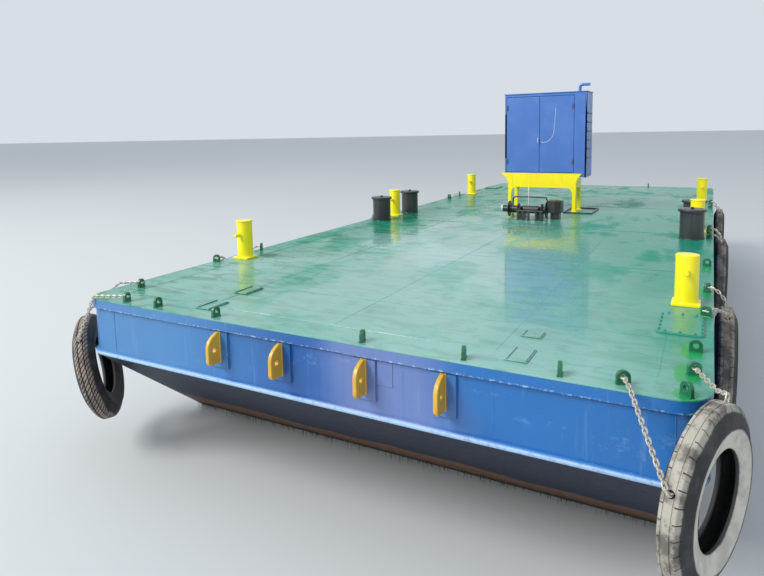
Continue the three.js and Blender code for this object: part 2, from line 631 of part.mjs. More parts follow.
// The two doors: each hangs on an upright line just in front of its outer edge.
const doorZ = [DEPTH + CABINET.floor + CABINET_DOORS.bottom + CABINET_DOORS.gap,
  DEPTH + CABINET.top - CABINET_DOORS.top - CABINET_DOORS.gap];
const doorEdges = {
  port: CABINET.x0 + CABINET_DOORS.left + CABINET_DOORS.gap,
  starboard: CABINET.x1 - CABINET_DOORS.right - CABINET_DOORS.gap,
};
const doorMiddle = (doorEdges.port + doorEdges.starboard) / 2;
function makeDoor(side) {
  const inward = side === 'port' ? 1 : -1;
  const { meet, gap, thick, axisProud } = CABINET_DOORS;
  const y = atStation(CABINET.front);
  const edge = doorMiddle - inward * meet;
  const x = [doorEdges[side], edge].sort((a, b) => a - b);
  const pieces = [box(x[0], x[1], y, y + thick, doorZ[0], doorZ[1])];
  const axis = { x: doorEdges[side] + inward * gap, y: y - axisProud };
  for (const height of HINGE.places) {
    const z = doorZ[0] + height * (doorZ[1] - doorZ[0]);
    pieces.push(rod([axis.x, axis.y, z - HINGE.pinHalf], [axis.x, axis.y, z + HINGE.pinHalf], HINGE.pin, 8));
    const leaf = [axis.x, axis.x + inward * HINGE.leaf].sort((a, b) => a - b);
    pieces.push(box(leaf[0], leaf[1], y - HINGE.pin, y + 2, z - HINGE.leafHalf, z + HINGE.leafHalf));
  }
  if (side === 'port') {
    const { height, radius, inset, proud, handle, up, down } = LOCK;
    const [lockX, z] = [edge - inset, DEPTH + height];
    pieces.push(rod([lockX, y + 2, z], [lockX, y - proud, z], radius, 10));
    pieces.push(box(lockX - radius, lockX + radius, y - handle, y - proud + 4, z - down, z + up));
  }
  return joined(pieces);
}

function makePowerPack() {
  const { width, depth, height, x, back } = POWER_PACK;
  const y = atStation(CABINET.front) + CABINET.depth / 2 + back;
  const z = DEPTH + CABINET.floor + CABINET.wall + GAP;
  return box(x - width / 2, x + width / 2, y - depth / 2, y + depth / 2, z, z + height);
}

// Exhaust: up through the roof, then bent over to starboard
function makeExhaust() {
  const { radius, rise, bend, x, back, out, collar } = EXHAUST;
  const y = atStation(CABINET.front) + CABINET.depth - back;
  const z = DEPTH + CABINET.top + CABINET_ROOF.thick + GAP;
  const straight = rise - bend;
  const route = [
    [x, y, z], [x, y, z + straight * 0.6], [x, y, z + straight],
    [x + bend * 0.3, y, z + straight + bend * 0.7], [x + bend, y, z + rise], [x + bend + out, y, z + rise],
  ];
  return joined([tube(route, radius, 8, 10, 0.5), rod([x, y, z], [x, y, z + collar], radius * 1.7, 12)]);
}

// The front apron: arched underneath, and flared at the top in front of the cabinet's foot.
function apronShape(top) {
  const { left, right, leg, apronBottom, flareStart, flareLeft, flareRight, archWide, archHigh } = STAND;
  const low = apronBottom - archHigh;
  const shape = new THREE.Shape();
  shape.moveTo(left, low);
  shape.lineTo(left + leg, low);
  shape.quadraticCurveTo(left + leg, apronBottom, left + leg + archWide, apronBottom);
  shape.lineTo(right - leg - archWide, apronBottom);
  shape.quadraticCurveTo(right - leg, apronBottom, right - leg, low);
  shape.lineTo(right, low);
  if (top === 'flared') {
    const turnIn = (STAND.apronTop + flareStart) / 2;
    shape.lineTo(right, flareStart);
    shape.quadraticCurveTo(right, turnIn, flareRight, STAND.apronTop);
    shape.lineTo(flareLeft, STAND.apronTop);
    shape.quadraticCurveTo(left, turnIn, left, flareStart);
  } else {
    shape.lineTo(right, CABINET.floor);
    shape.lineTo(left, CABINET.floor);
  }
  return shape;
}

// Stand: four legs on feet, aprons between them, and the tray that the cabinet stands on.
function makeStand() {
  const { left, right, front, back, leg, apronBottom, sheet, foot, footThick } = STAND;
  const z = (height) => DEPTH + height;
  const [y0, y1, trayY] = [front, back, STAND.trayBack].map(atStation);
  const over = (foot - leg) / 2;
  const pieces = [
    plateXZ(apronShape('flared'), y0, y0 + sheet).translate(0, 0, DEPTH),
    plateXZ(apronShape('flat'), y1 - sheet, y1).translate(0, 0, DEPTH),
    box(STAND.trayLeft, STAND.trayRight, y0 + sheet / 2, trayY, z(CABINET.floor - sheet), z(CABINET.floor)),
  ];
  for (const x of [left, right - leg]) {
    for (const y of [y0, y1 - leg]) {
      pieces.push(box(x, x + leg, y, y + leg, z(GAP), z(CABINET.floor - sheet / 2)));
      pieces.push(box(x - over, x + leg + over, y - over, y + leg + over, z(GAP), z(footThick)));
    }
  }
  for (const x of [left, right - sheet]) {
    pieces.push(box(x, x + sheet, y0, y1, z(apronBottom), z(CABINET.floor)));
  }
  return joined(pieces);
}

// Winch frame: two brackets with the drum's bores, the front rail on its legs, a guard arch behind the drum
// on a sill, and the brake lever.
function makeWinchFrame() {
  const { shaft, bracket, play } = WINCH;
  const y = atStation(WINCH.axisY);
  const z = DEPTH + WINCH.axisZ;
  const foot = DEPTH + GAP;
  const pieces = [];
  for (const x of WINCH_BRACKETS.places) {
    const { out, topHalf, top, frontTop, backTop } = WINCH_BRACKETS;
    const plate = new THREE.Shape([
      new THREE.Vector2(y - out, foot),
      new THREE.Vector2(y + out, foot),
      new THREE.Vector2(y + out, DEPTH + backTop),
      new THREE.Vector2(y + topHalf, DEPTH + top),
      new THREE.Vector2(y - topHalf, DEPTH + top),
      new THREE.Vector2(y - out, DEPTH + frontTop),
    ]);
    const bore = new THREE.Path();
    bore.absarc(y, z, shaft + play, 0, 2 * Math.PI, true);
    plate.holes.push(bore);
    pieces.push(alongX(extruded(plate, bracket, 6), x - bracket / 2));
  }
  const { places, width, back, rail, railHeight } = WINCH_LEGS;
  const [legY, railZ] = [y - back, DEPTH + railHeight];
  for (const x of places) {
    pieces.push(box(x - width / 2, x + width / 2, legY - width / 2, legY + width / 2, foot, railZ));
  }
  pieces.push(rod([places[0] - width, legY, railZ], [places.at(-1) + width, legY, railZ], rail, 8));
  const { left, right, forward, shoulder, top, bend, radius, sill } = WINCH_GUARD;
  const guardY = y + forward;
  const arch = [
    [left, guardY, foot], [left, guardY, DEPTH + shoulder], [left + bend, guardY, DEPTH + top],
    [right - bend, guardY, DEPTH + top], [right, guardY, DEPTH + shoulder], [right, guardY, foot],
  ];
  pieces.push(tube(arch, radius, 8, 22, 0.4));
  pieces.push(rod([left, guardY, DEPTH + sill], [right, guardY, DEPTH + sill], radius, 8));
  const lever = BRAKE_LEVER;
  pieces.push(rod([lever.x, guardY, DEPTH + sill], [lever.x, guardY, DEPTH + lever.top], lever.radius, 8));
  return joined(pieces);
}

function makeWinchDrum() {
  const y = atStation(WINCH.axisY);
  const z = DEPTH + WINCH.axisZ;
  const along = (x0, x1, radius, sides) => rod([x0, y, z], [x1, y, z], radius, sides);
  return joined([
    along(WINCH.left, WINCH.right, WINCH.shaft, 10),
    ...WINCH_BARRELS.map(({ x0, x1, radius }) => along(x0, x1, radius, 16)),
    ...WINCH_DISCS.map(({ x, radius, thick }) => along(x - thick / 2, x + thick / 2, radius, 20)),
  ]);
}

function makeWinchMotor() {
  const { x0, x1, aft, fore, low, top, footIn } = WINCH_MOTOR;
  const y = atStation(WINCH.axisY);
  return joined([
    box(x0, x1, y - aft, y + fore, DEPTH + low, DEPTH + top),
    box(x0 + footIn, x1 - footIn, y - aft + footIn, y + fore - footIn, DEPTH + GAP, DEPTH + low + 1),
  ]);
}

function makeRack() {
  const { x0, x1, y0, y1, bar, high } = RACK;
  const [a, b] = [atStation(y0), atStation(y1)];
  const [z0, z1] = [DEPTH + GAP, DEPTH + high];
  return joined([
    box(x0, x1, a, a + bar, z0, z1), box(x0, x1, b - bar, b, z0, z1),
    box(x0, x0 + bar, a, b, z0, z1), box(x1 - bar, x1, a, b, z0, z1),
  ]);
}

// More pad-eyes along the ends and down the starboard side
const EXTRA_EYES = [
  { x: -1573, station: 72, turn: 90 }, { x: -940, station: 72, turn: 90 }, { x: 369, station: 72, turn: 90 },
  { x: 1089, station: 72, turn: 90 }, { x: 1668, station: 72, turn: 90 }, { x: 2314, station: 72, turn: -45 },
  { x: 2340, station: 787, turn: 0 }, { x: 2380, station: 3449, turn: 0 },
  { x: -1100, station: LENGTH - 72, turn: 90 }, { x: 1100, station: LENGTH - 72, turn: 90 },
];
EXTRA_EYES.forEach(({ x, station, turn }) => padEye(x, atStation(station), turn));

addMesh('hull', makeHull(), FINISH.hullBlue);
addMesh('deck_plate_aft', makeAftPlate(), FINISH.deckGreen);
addMesh('deck_plate', makeDeck(), FINISH.deckGreen);
addMesh('stringer_plate', makeStringer(), FINISH.deckGreen);
for (const end of ['aft', 'fore']) {
  addMesh(`headlog_${end}`, makeHeadlog(end), FINISH.hullBlue);
  EYE_STATIONS.forEach((x, i) => addMesh(`tow_eye_${end}_${i + 1}`, makeTowEye(x, end), FINISH.yellow));
}
for (const [sideName, side] of [['port', -1], ['starboard', 1]]) {
  addMesh(`rub_strake_${sideName}`, makeRubStrake(side), FINISH.hullBlue);
  for (const [place, station] of Object.entries(BOLLARD_STATIONS)) {
    const size = place === 'aft' && side === 1 ? SHORT_BOLLARD : BOLLARD;
    addMesh(`bollard_${place}_${sideName}`, makeBollard(size), FINISH.yellow)
      .position.set(side * (HALF_BEAM - BOLLARD_INSET), atStation(station), DEPTH + GAP);
  }
  for (const [place, station] of Object.entries(BITT_STATIONS)) {
    addMesh(`bitt_${place}_${sideName}`, makeBitt(), FINISH.black)
      .position.set(side * (HALF_BEAM - BITT_INSET), atStation(station), DEPTH + GAP);
  }
}
for (const { name, x, station, length } of SOCKET_PLACES) {
  addMesh(name, makeSocket(length), FINISH.deckGreen).position.set(x, atStation(station), DEPTH + GAP);
}
for (const { name, x, station } of MANHOLE_PLACES) {
  addMesh(name, makeManhole(), FINISH.deckGreen).position.set(x, atStation(station), DEPTH + GAP);
}
for (const fender of fenders) {
  addMesh(`tyre_${fender.name}`, makeTyre(fender), FINISH.rubber);
  addMesh(`chain_${fender.name}`, makeChain(fender), FINISH.chain);
}
addMesh('stand', makeStand(), FINISH.yellow);
addMesh('cabinet', makeCabinet(), FINISH.cabinetBlue).position.z = GAP;
addMesh('door_port', makeDoor('port'), FINISH.cabinetBlue).position.z = GAP;
addMesh('door_starboard', makeDoor('starboard'), FINISH.cabinetBlue).position.z = GAP;
addMesh('power_pack', makePowerPack(), FINISH.grey).position.z = GAP;
addMesh('exhaust', makeExhaust(), FINISH.steel).position.z = GAP;
addMesh('winch_frame', makeWinchFrame(), FINISH.black);
addMesh('winch_drum', makeWinchDrum(), FINISH.black);
addMesh('winch_motor', makeWinchMotor(), FINISH.black);
addMesh('deck_rack', makeRack(), FINISH.black);

export default root;
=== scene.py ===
"""River deck barge: its surfaces, finishes, light and camera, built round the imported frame, in metres.

X runs to starboard, Y forward and Z up, with the origin at the middle of the flat hull bottom.
"""

import logging
import math
from dataclasses import dataclass, field
from enum import Enum

import bmesh
import bpy
import numpy as np
from mathutils import Matrix, Vector


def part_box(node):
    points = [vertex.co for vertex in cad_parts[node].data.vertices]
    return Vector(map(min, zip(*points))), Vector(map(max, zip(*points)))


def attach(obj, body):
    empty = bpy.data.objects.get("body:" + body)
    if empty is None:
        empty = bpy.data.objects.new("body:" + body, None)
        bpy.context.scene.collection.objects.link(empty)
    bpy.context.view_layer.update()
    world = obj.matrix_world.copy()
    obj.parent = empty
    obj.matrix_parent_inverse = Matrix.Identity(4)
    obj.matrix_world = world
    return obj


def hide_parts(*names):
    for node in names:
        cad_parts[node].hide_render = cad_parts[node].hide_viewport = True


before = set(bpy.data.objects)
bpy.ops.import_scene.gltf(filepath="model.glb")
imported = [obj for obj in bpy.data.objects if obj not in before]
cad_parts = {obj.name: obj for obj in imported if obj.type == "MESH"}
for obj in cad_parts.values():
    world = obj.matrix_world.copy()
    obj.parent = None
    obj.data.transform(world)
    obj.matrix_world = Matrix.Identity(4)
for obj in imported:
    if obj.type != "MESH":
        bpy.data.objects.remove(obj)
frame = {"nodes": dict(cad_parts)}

Array = np.ndarray
Colour = tuple[float, float, float, float]
LOG = logging.getLogger("barge")
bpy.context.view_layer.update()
FULL_TURN = 2 * math.pi
# The gap that touching pieces keep, and the distance under which two points are one.
GAP = 0.0003
MERGED = 2e-6


class Body(Enum):
    """The moving bodies of the frame."""

    BARGE = "barge"
    PORT_DOOR = "port_door"
    STARBOARD_DOOR = "starboard_door"
    DRUM = "drum"


class Slot(Enum):
    """The record's material slots."""

    HULL = "hull_blue"
    DECK = "deck_green"
    YELLOW = "safety_yellow"
    BLACK = "bitt_black"
    CABINET = "cabinet_blue"
    RUBBER = "tyre_rubber"
    CHAIN = "galvanised_chain"
    GREY = "machine_grey"
    STEEL = "bare_steel"


# Surfaces


@dataclass
class Patch:
    """Closed surfaces of one piece.

    Points are (n, 3), quads (m, 4), polys longer corner lists, and chart and form are two maps, (n, 2) each.
    """

    points: Array
    quads: Array
    polys: list[list[int]] = field(default_factory=list)
    chart: Array | None = None
    form: Array | None = None

    def __post_init__(self) -> None:
        """Gives the maps that were left out as zeros."""
        count = len(self.points)
        self.chart = np.zeros((count, 2)) if self.chart is None else self.chart.reshape(-1, 2)
        self.form = np.zeros((count, 2)) if self.form is None else self.form.reshape(-1, 2)

    def moved(self, matrix: Matrix) -> "Patch":
        """The same surfaces through a 4 by 4 matrix."""
        values = np.array(matrix)
        points = self.points @ values[:3, :3].T + values[:3, 3]
        return Patch(points, self.quads, self.polys, self.chart, self.form)

    def shifted(self, x: float, y: float, z: float) -> "Patch":
        """The same surfaces moved by x, y and z."""
        return Patch(self.points + (x, y, z), self.quads, self.polys, self.chart, self.form)


def joined(*patches: Patch) -> Patch:
    """All the patches as one, each one's corners counted on from those before it."""
    starts = np.cumsum([0] + [len(patch.points) for patch in patches[:-1]])
    return Patch(
        np.concatenate([patch.points for patch in patches]),
        np.concatenate([patch.quads + start for patch, start in zip(patches, starts)]),
        [[int(start) + i for i in poly] for patch, start in zip(patches, starts) for poly in patch.polys],
        np.concatenate([patch.chart for patch in patches]),
        np.concatenate([patch.form for patch in patches]),
    )


def grid(points: Array, chart: Array | None = None, form: Array | None = None) -> Patch:
    """Quads between neighbours of a (rows, columns, 3) array; a chart left out runs 0 to 1 both ways."""
    rows, columns = points.shape[:2]
    index = np.arange(rows * columns).reshape(rows, columns)
    corners = [index[:-1, :-1], index[1:, :-1], index[1:, 1:], index[:-1, 1:]]
    quads = np.stack(corners, axis=-1).reshape(-1, 4)
    if chart is None:
        chart = np.stack(np.meshgrid(np.linspace(0, 1, columns), np.linspace(0, 1, rows)), axis=-1)
    return Patch(points.reshape(-1, 3), quads, [], chart, form)


def arc(centre: tuple[float, float], radius: float, start: float, end: float, steps: int) -> Array:
    """Points on a circle: centre + radius (cos t, sin t), t going from start to end in degrees."""
    turn = np.radians(np.linspace(start, end, steps + 1))
    return np.array(centre) + radius * np.stack([np.cos(turn), np.sin(turn)], axis=1)


def bent(start: tuple[float, float], control: tuple[float, float], end: tuple[float, float],
         steps: int) -> Array:
    """A quadratic curve: (1 - t)^2 start + 2 t (1 - t) control + t^2 end, t going from 0 to 1."""
    t = np.linspace(0, 1, steps + 1)[:, None]
    first, middle, last = (np.array(point, float) for point in (start, control, end))
    return (1 - t) ** 2 * first + 2 * t * (1 - t) * middle + t**2 * last


def subdivided(outline: Array, spacing: float) -> Array:
    """A closed outline with even points put in along each side, none further apart than the spacing."""
    sides = []
    for here, after in zip(outline, np.roll(outline, -1, axis=0)):
        steps = max(1, math.ceil(np.linalg.norm(after - here) / spacing))
        sides.append(here + (after - here) * np.arange(steps)[:, None] / steps)
    return np.concatenate(sides)


def rounded(width: float, length: float, radius: float, steps: int = 6) -> Array:
    """A rectangle about the origin with a quarter circle at each corner."""
    half_w, half_l = width / 2 - radius, length / 2 - radius
    centres = [(half_w, half_l), (-half_w, half_l), (-half_w, -half_l), (half_w, -half_l)]
    return np.concatenate([arc(c, radius, 90 * i, 90 * i + 90, steps) for i, c in enumerate(centres)])


def through(points: list[tuple[float, ...]], steps: int) -> Array:
    """A smooth line through the points.

    Between b and c it is the cubic whose slope is half of c - a at b and half of d - b at c, a and d being
    the points before and after, at `steps` even parameters.
    """
    knots = np.array(points, float)
    padded = np.concatenate([2 * knots[:1] - knots[1:2], knots, 2 * knots[-1:] - knots[-2:-1]])
    t = np.linspace(0, 1, steps, endpoint=False)[None, :, None]
    a, b, c, d = (padded[i : len(padded) - 3 + i, None, :] for i in range(4))
    curve = b + 0.5 * t * (c - a + t * (2 * a - 5 * b + 4 * c - d + t * (3 * (b - c) + d - a)))
    return np.concatenate([curve.reshape(-1, knots.shape[1]), knots[-1:]])


def resampled(path: Array, spacing: float) -> Array:
    """The same line with points at even distances along it, close to the spacing."""
    lengths = np.concatenate([[0], np.cumsum(np.linalg.norm(np.diff(path, axis=0), axis=1))])
    count = max(2, round(lengths[-1] / spacing) + 1)
    even = np.linspace(0, lengths[-1], count)
    return np.stack([np.interp(even, lengths, path[:, k]) for k in range(path.shape[1])], axis=1)


def frames_along(path: Array) -> tuple[Array, Array, Array]:
    """Tangent, side and up at each point of a path.

    The tangent is the difference of the neighbours, and the side is square to it and to the normal of the
    plane that fits the path best.
    """
    tangent = np.gradient(path, axis=0)
    tangent /= np.linalg.norm(tangent, axis=1, keepdims=True)
    normal = np.linalg.svd(path - path.mean(axis=0))[2][-1]
    side = np.cross(normal, tangent)
    side /= np.linalg.norm(side, axis=1, keepdims=True)
    return tangent, side, np.cross(tangent, side)


def tube(path: Array, radius: float | Array, sides: int = 12) -> Patch:
    """A round bar along a path: centre + radius (cos t side + sin t up), closed to a point at both ends."""
    path = np.asarray(path, float)
    _, side, up = frames_along(path)
    turn = np.linspace(0, FULL_TURN, sides + 1)[None, :, None]
    size = np.broadcast_to(np.asarray(radius, float), (len(path),))[:, None, None]
    rings = path[:, None] + size * (np.cos(turn) * side[:, None] + np.sin(turn) * up[:, None])
    ends = [np.repeat(path[i][None, None], sides + 1, axis=1) for i in (0, -1)]
    return grid(np.concatenate([ends[0], rings, ends[1]]))


def rod(start: tuple[float, ...], end: tuple[float, ...], radius: float, sides: int = 16) -> Patch:
    """A straight round bar between two points."""
    return tube(np.array([start, end], float), radius, sides)


def turned(profile: Array | list[tuple[float, float]], steps: int = 48) -> Patch:
    """A shape turned on Z: (r cos t, r sin t, z) for each (r, z) of a closed or axis to axis profile."""
    line = np.array(profile, float)
    turn = np.linspace(0, FULL_TURN, steps + 1)
    x, y = line[:, :1] * np.cos(turn), line[:, :1] * np.sin(turn)
    return grid(np.stack([x, y, np.broadcast_to(line[:, 1:], x.shape)], axis=-1))


def ring(radius: float, wire: float, steps: int = 40, sides: int = 6) -> Patch:
    """A round ring on Z: the profile circle (radius + wire cos s, wire sin s) turned about the axis."""
    section = arc((radius, 0), wire, 0, 360, sides)
    return turned(section, steps)


def prism(outline: Array, low: float, high: float, plane: str = "xy") -> Patch:
    """An outline carried from low to high along the axis that its plane leaves out, with flat ends."""
    first, second = ("xyz".index(letter) for letter in plane)
    count = len(outline)
    points = np.zeros((2, count, 3))
    points[..., first], points[..., second] = outline[:, 0], outline[:, 1]
    points[0, :, 3 - first - second] = low
    points[1, :, 3 - first - second] = high
    here = np.arange(count)
    after = (here + 1) % count
    quads = np.stack([here, after, after + count, here + count], axis=1)
    ends = [here[::-1].tolist(), (here + count).tolist()]
    return Patch(points.reshape(-1, 3), quads, ends)


def block(low: tuple[float, ...], high: tuple[float, ...]) -> Patch:
    """A box between two corners."""
    (x0, y0, z0), (x1, y1, z1) = low, high
    return prism(np.array([(x0, y0), (x1, y0), (x1, y1), (x0, y1)]), z0, z1)


def banded(inner: Array, outer: Array, low: float, high: float, plane: str = "xy",
           lip: float = 0.0) -> Patch:
    """A plate with a hole: two loops of like count, its faces at low and high, its outer edges cut back.

    The section goes inner low, outer low, outer high and inner high, each outer corner as two points that
    stand `lip` away from it.
    """
    first, second = ("xyz".index(letter) for letter in plane)
    centre = inner.mean(axis=0)
    shrunk = centre + (outer - centre) * (1 - lip / np.linalg.norm(outer - centre, axis=1, keepdims=True))
    rows = [(inner, low), (shrunk, low), (outer, low + lip), (outer, high - lip), (shrunk, high),
            (inner, high)]
    if lip == 0:
        rows = [rows[0], rows[2], rows[3], rows[5]]
    points = np.zeros((len(rows) + 1, len(inner) + 1, 3))
    for row, (loop, level) in enumerate(rows + rows[:1]):
        closed = np.concatenate([loop, loop[:1]])
        points[row, :, first], points[row, :, second] = closed[:, 0], closed[:, 1]
        points[row, :, 3 - first - second] = level
    return grid(points)


def bored(outline: Array, centre: tuple[float, float], radius: float, low: float, high: float, plane: str,
          lip: float = 0.0) -> Patch:
    """A plate with one round hole, where each point of the outline has its partner towards the centre."""
    outer = subdivided(outline, 0.012)
    heading = outer - centre
    inner = centre + radius * heading / np.linalg.norm(heading, axis=1, keepdims=True)
    return banded(inner, outer, low, high, plane, lip)


def pierced(us: Array, vs: Array, solid: Array, low: float, high: float, plane: str) -> Patch:
    """A flat panel of cells with some left out.

    Cell (i, j) lies between us[i], us[i + 1] and vs[j], vs[j + 1]. A solid cell has both its faces, and a
    wall stands wherever a solid cell meets an empty one or the outside.
    """
    first, second = ("xyz".index(letter) for letter in plane)
    points = np.zeros((2, len(us), len(vs), 3))
    points[..., first] = us[:, None]
    points[..., second] = vs
    points[0, ..., 3 - first - second] = low
    points[1, ..., 3 - first - second] = high
    index = np.arange(points.size // 3).reshape(2, len(us), len(vs))
    i, j = np.nonzero(solid)
    faces = [np.stack([index[k, i, j], index[k, i + 1, j], index[k, i + 1, j + 1], index[k, i, j + 1]],
                      axis=1)
             for k in (0, 1)]
    framed = np.pad(solid, 1)
    for axis in (0, 1):
        edge = np.diff(framed.astype(int), axis=axis) != 0
        edge = edge[:, 1:-1] if axis == 0 else edge[1:-1, :]
        a, b = np.nonzero(edge)
        c, d = (a, b + 1) if axis == 0 else (a + 1, b)
        faces.append(np.stack([index[0, a, b], index[0, c, d], index[1, c, d], index[1, a, b]], axis=1))
    return Patch(points.reshape(-1, 3), np.concatenate(faces))


def repeated(patch: Patch, turns: Array, places: Array) -> Patch:
    """Copies of a patch, copy k through the 3 by 3 matrix turns[k] and then moved to places[k]."""
    count = len(places)
    points = np.einsum("kij,nj->kni", turns, patch.points) + places[:, None]
    quads = patch.quads[None] + (np.arange(count) * len(patch.points))[:, None, None]
    return Patch(points.reshape(-1, 3), quads.reshape(-1, 4), [], np.tile(patch.chart, (count, 1)))


def bead(path: Array, width: float, seed: int, sides: int = 6) -> Patch:
    """A weld bead: a bar along the path, its radius half the width, give or take an eighth at random."""
    line = resampled(np.asarray(path, float), width * 1.6)
    wander = np.random.default_rng(seed).uniform(0.88, 1.12, len(line))
    return tube(line, width / 2 * wander, sides)


# Finishes


def srgb(red: int, green: int, blue: int) -> Colour:
    """A display colour, 0 to 255 a channel, as linear light."""
    def linear(value: int) -> float:
        share = value / 255
        return share / 12.92 if share <= 0.04045 else ((share + 0.055) / 1.055) ** 2.4
    return (linear(red), linear(green), linear(blue), 1.0)


class Level:
    """One output socket that takes part in sums: each operator adds a Math node."""

    def __init__(self, paint: "Paint", socket: bpy.types.NodeSocket) -> None:
        """Wraps a socket of the paint's tree."""
        self.paint = paint
        self.socket = socket

    def _math(self, operation: str, other: "Level | float" = 0.0, flipped: bool = False) -> "Level":
        """A Math node on this level and another, in the other order where flipped."""
        first, second = (other, self) if flipped else (self, other)
        return self.paint.node("ShaderNodeMath", {"operation": operation}, {0: first, 1: second})

    def __add__(self, other: "Level | float") -> "Level":
        """This plus other."""
        return self._math("ADD", other)

    __radd__ = __add__

    def __sub__(self, other: "Level | float") -> "Level":
        """This minus other."""
        return self._math("SUBTRACT", other)

    def __rsub__(self, other: float) -> "Level":
        """Other minus this."""
        return self._math("SUBTRACT", other, flipped=True)

    def __mul__(self, other: "Level | float") -> "Level":
        """This times other."""
        return self._math("MULTIPLY", other)

    __rmul__ = __mul__

    def __abs__(self) -> "Level":
        """This without its sign."""
        return self._math("ABSOLUTE")

    def least(self, other: "Level | float") -> "Level":
        """The smaller of the two."""
        return self._math("MINIMUM", other)

    def most(self, other: "Level | float") -> "Level":
        """The larger of the two."""
        return self._math("MAXIMUM", other)

    def smooth(self, low: float, high: float) -> "Level":
        """0 to 1 as this goes from low to high, on an S curve, where high may be under low."""
        if low > high:
            return 1 - self.smooth(high, low)
        settings = {"interpolation_type": "SMOOTHSTEP"}
        return self.paint.node("ShaderNodeMapRange", settings, {0: self, 1: low, 2: high, 3: 0.0, 4: 1.0})


class Paint:
    """One material and the making of its nodes."""

    def __init__(self, name: str) -> None:
        """Starts a material with only its shader and output."""
        self.material = bpy.data.materials.new(name)
        self.material.use_nodes = True
        self.tree = self.material.node_tree
        self.tree.nodes.clear()
        self.shader = self.tree.nodes.new("ShaderNodeBsdfPrincipled")
        output = self.tree.nodes.new("ShaderNodeOutputMaterial")
        self.tree.links.new(self.shader.outputs[0], output.inputs["Surface"])
        self.place = self.node("ShaderNodeTexCoord", output="Object")

    def node(self, kind: str, settings: dict | None = None, inputs: dict | None = None,
             output: int | str = 0) -> Level:
        """Adds one node.

        Args:
            kind: the node's type.
            settings: its own properties, set first.
            inputs: a number, tuple or Level for each socket that is given, by name or place.
            output: which output is wanted.

        Returns:
            The wanted output, ready for sums.
        """
        made = self.tree.nodes.new(kind)
        for key, value in (settings or {}).items():
            setattr(made, key, value)
        for key, value in (inputs or {}).items():
            self.feed(made.inputs[key], value)
        return Level(self, made.outputs[output])

    def feed(self, socket: bpy.types.NodeSocket, value: "Level | float | tuple") -> None:
        """Links or sets one input socket."""
        if isinstance(value, Level):
            self.tree.links.new(value.socket, socket)
        else:
            socket.default_value = value

    def axes(self) -> tuple[Level, Level, Level]:
        """X, Y and Z on the object, in metres."""
        parts = self.node("ShaderNodeSeparateXYZ", {}, {0: self.place}).socket.node
        return tuple(Level(self, parts.outputs[i]) for i in range(3))

    def chart(self, name: str) -> tuple[Level, Level]:
        """The two numbers of one of the piece's maps."""
        spot = self.node("ShaderNodeUVMap", {"uv_map": name})
        parts = self.node("ShaderNodeSeparateXYZ", {}, {0: spot}).socket.node
        return Level(self, parts.outputs[0]), Level(self, parts.outputs[1])

    def noise(self, size: float | tuple[float, float, float], detail: float = 3.0, roughness: float = 0.5,
              offset: float = 0.0, warp: float = 0.0) -> Level:
        """Cloudy noise about 0.5, its clouds `size` metres across, on one axis or each."""
        sizes = size if isinstance(size, tuple) else (size, size, size)
        scale = tuple(1 / value for value in sizes)
        spot = self.node("ShaderNodeMapping", {},
                         {"Vector": self.place, "Scale": scale, "Location": (offset,) * 3})
        inputs = {"Vector": spot, "Scale": 1.0, "Detail": detail, "Roughness": roughness, "Distortion": warp}
        return self.node("ShaderNodeTexNoise", {}, inputs)

    def mixed(self, first: Level | Colour, second: Level | Colour, share: Level | float) -> Level:
        """The first colour, going over to the second as the share goes to 1."""
        return self.node("ShaderNodeMix", {"data_type": "RGBA"}, {0: share, 6: first, 7: second}, output=2)

    def bumped(self, height: Level, distance: float, normal: Level | None = None) -> Level:
        """A surface normal tilted by a height that goes over 0 to 1, worth `distance` metres."""
        inputs = {"Height": height, "Distance": distance, "Strength": 1.0}
        if normal is not None:
            inputs["Normal"] = normal
        return self.node("ShaderNodeBump", {}, inputs)

    def finish(self, colour: Level | Colour, roughness: Level | float, normal: Level | None = None,
               metallic: Level | float = 0.0, coat: Level | float = 0.0, coat_roughness: float = 0.05,
               ior: float = 1.5) -> bpy.types.Material:
        """Feeds the shader and returns the material."""
        self.feed(self.shader.inputs["Base Color"], colour)
        self.feed(self.shader.inputs["Roughness"], roughness)
        self.feed(self.shader.inputs["Metallic"], metallic)
        self.feed(self.shader.inputs["Coat Weight"], coat)
        self.shader.inputs["Coat Roughness"].default_value = coat_roughness
        self.shader.inputs["IOR"].default_value = ior
        if normal is not None:
            self.feed(self.shader.inputs["Normal"], normal)
        return self.material


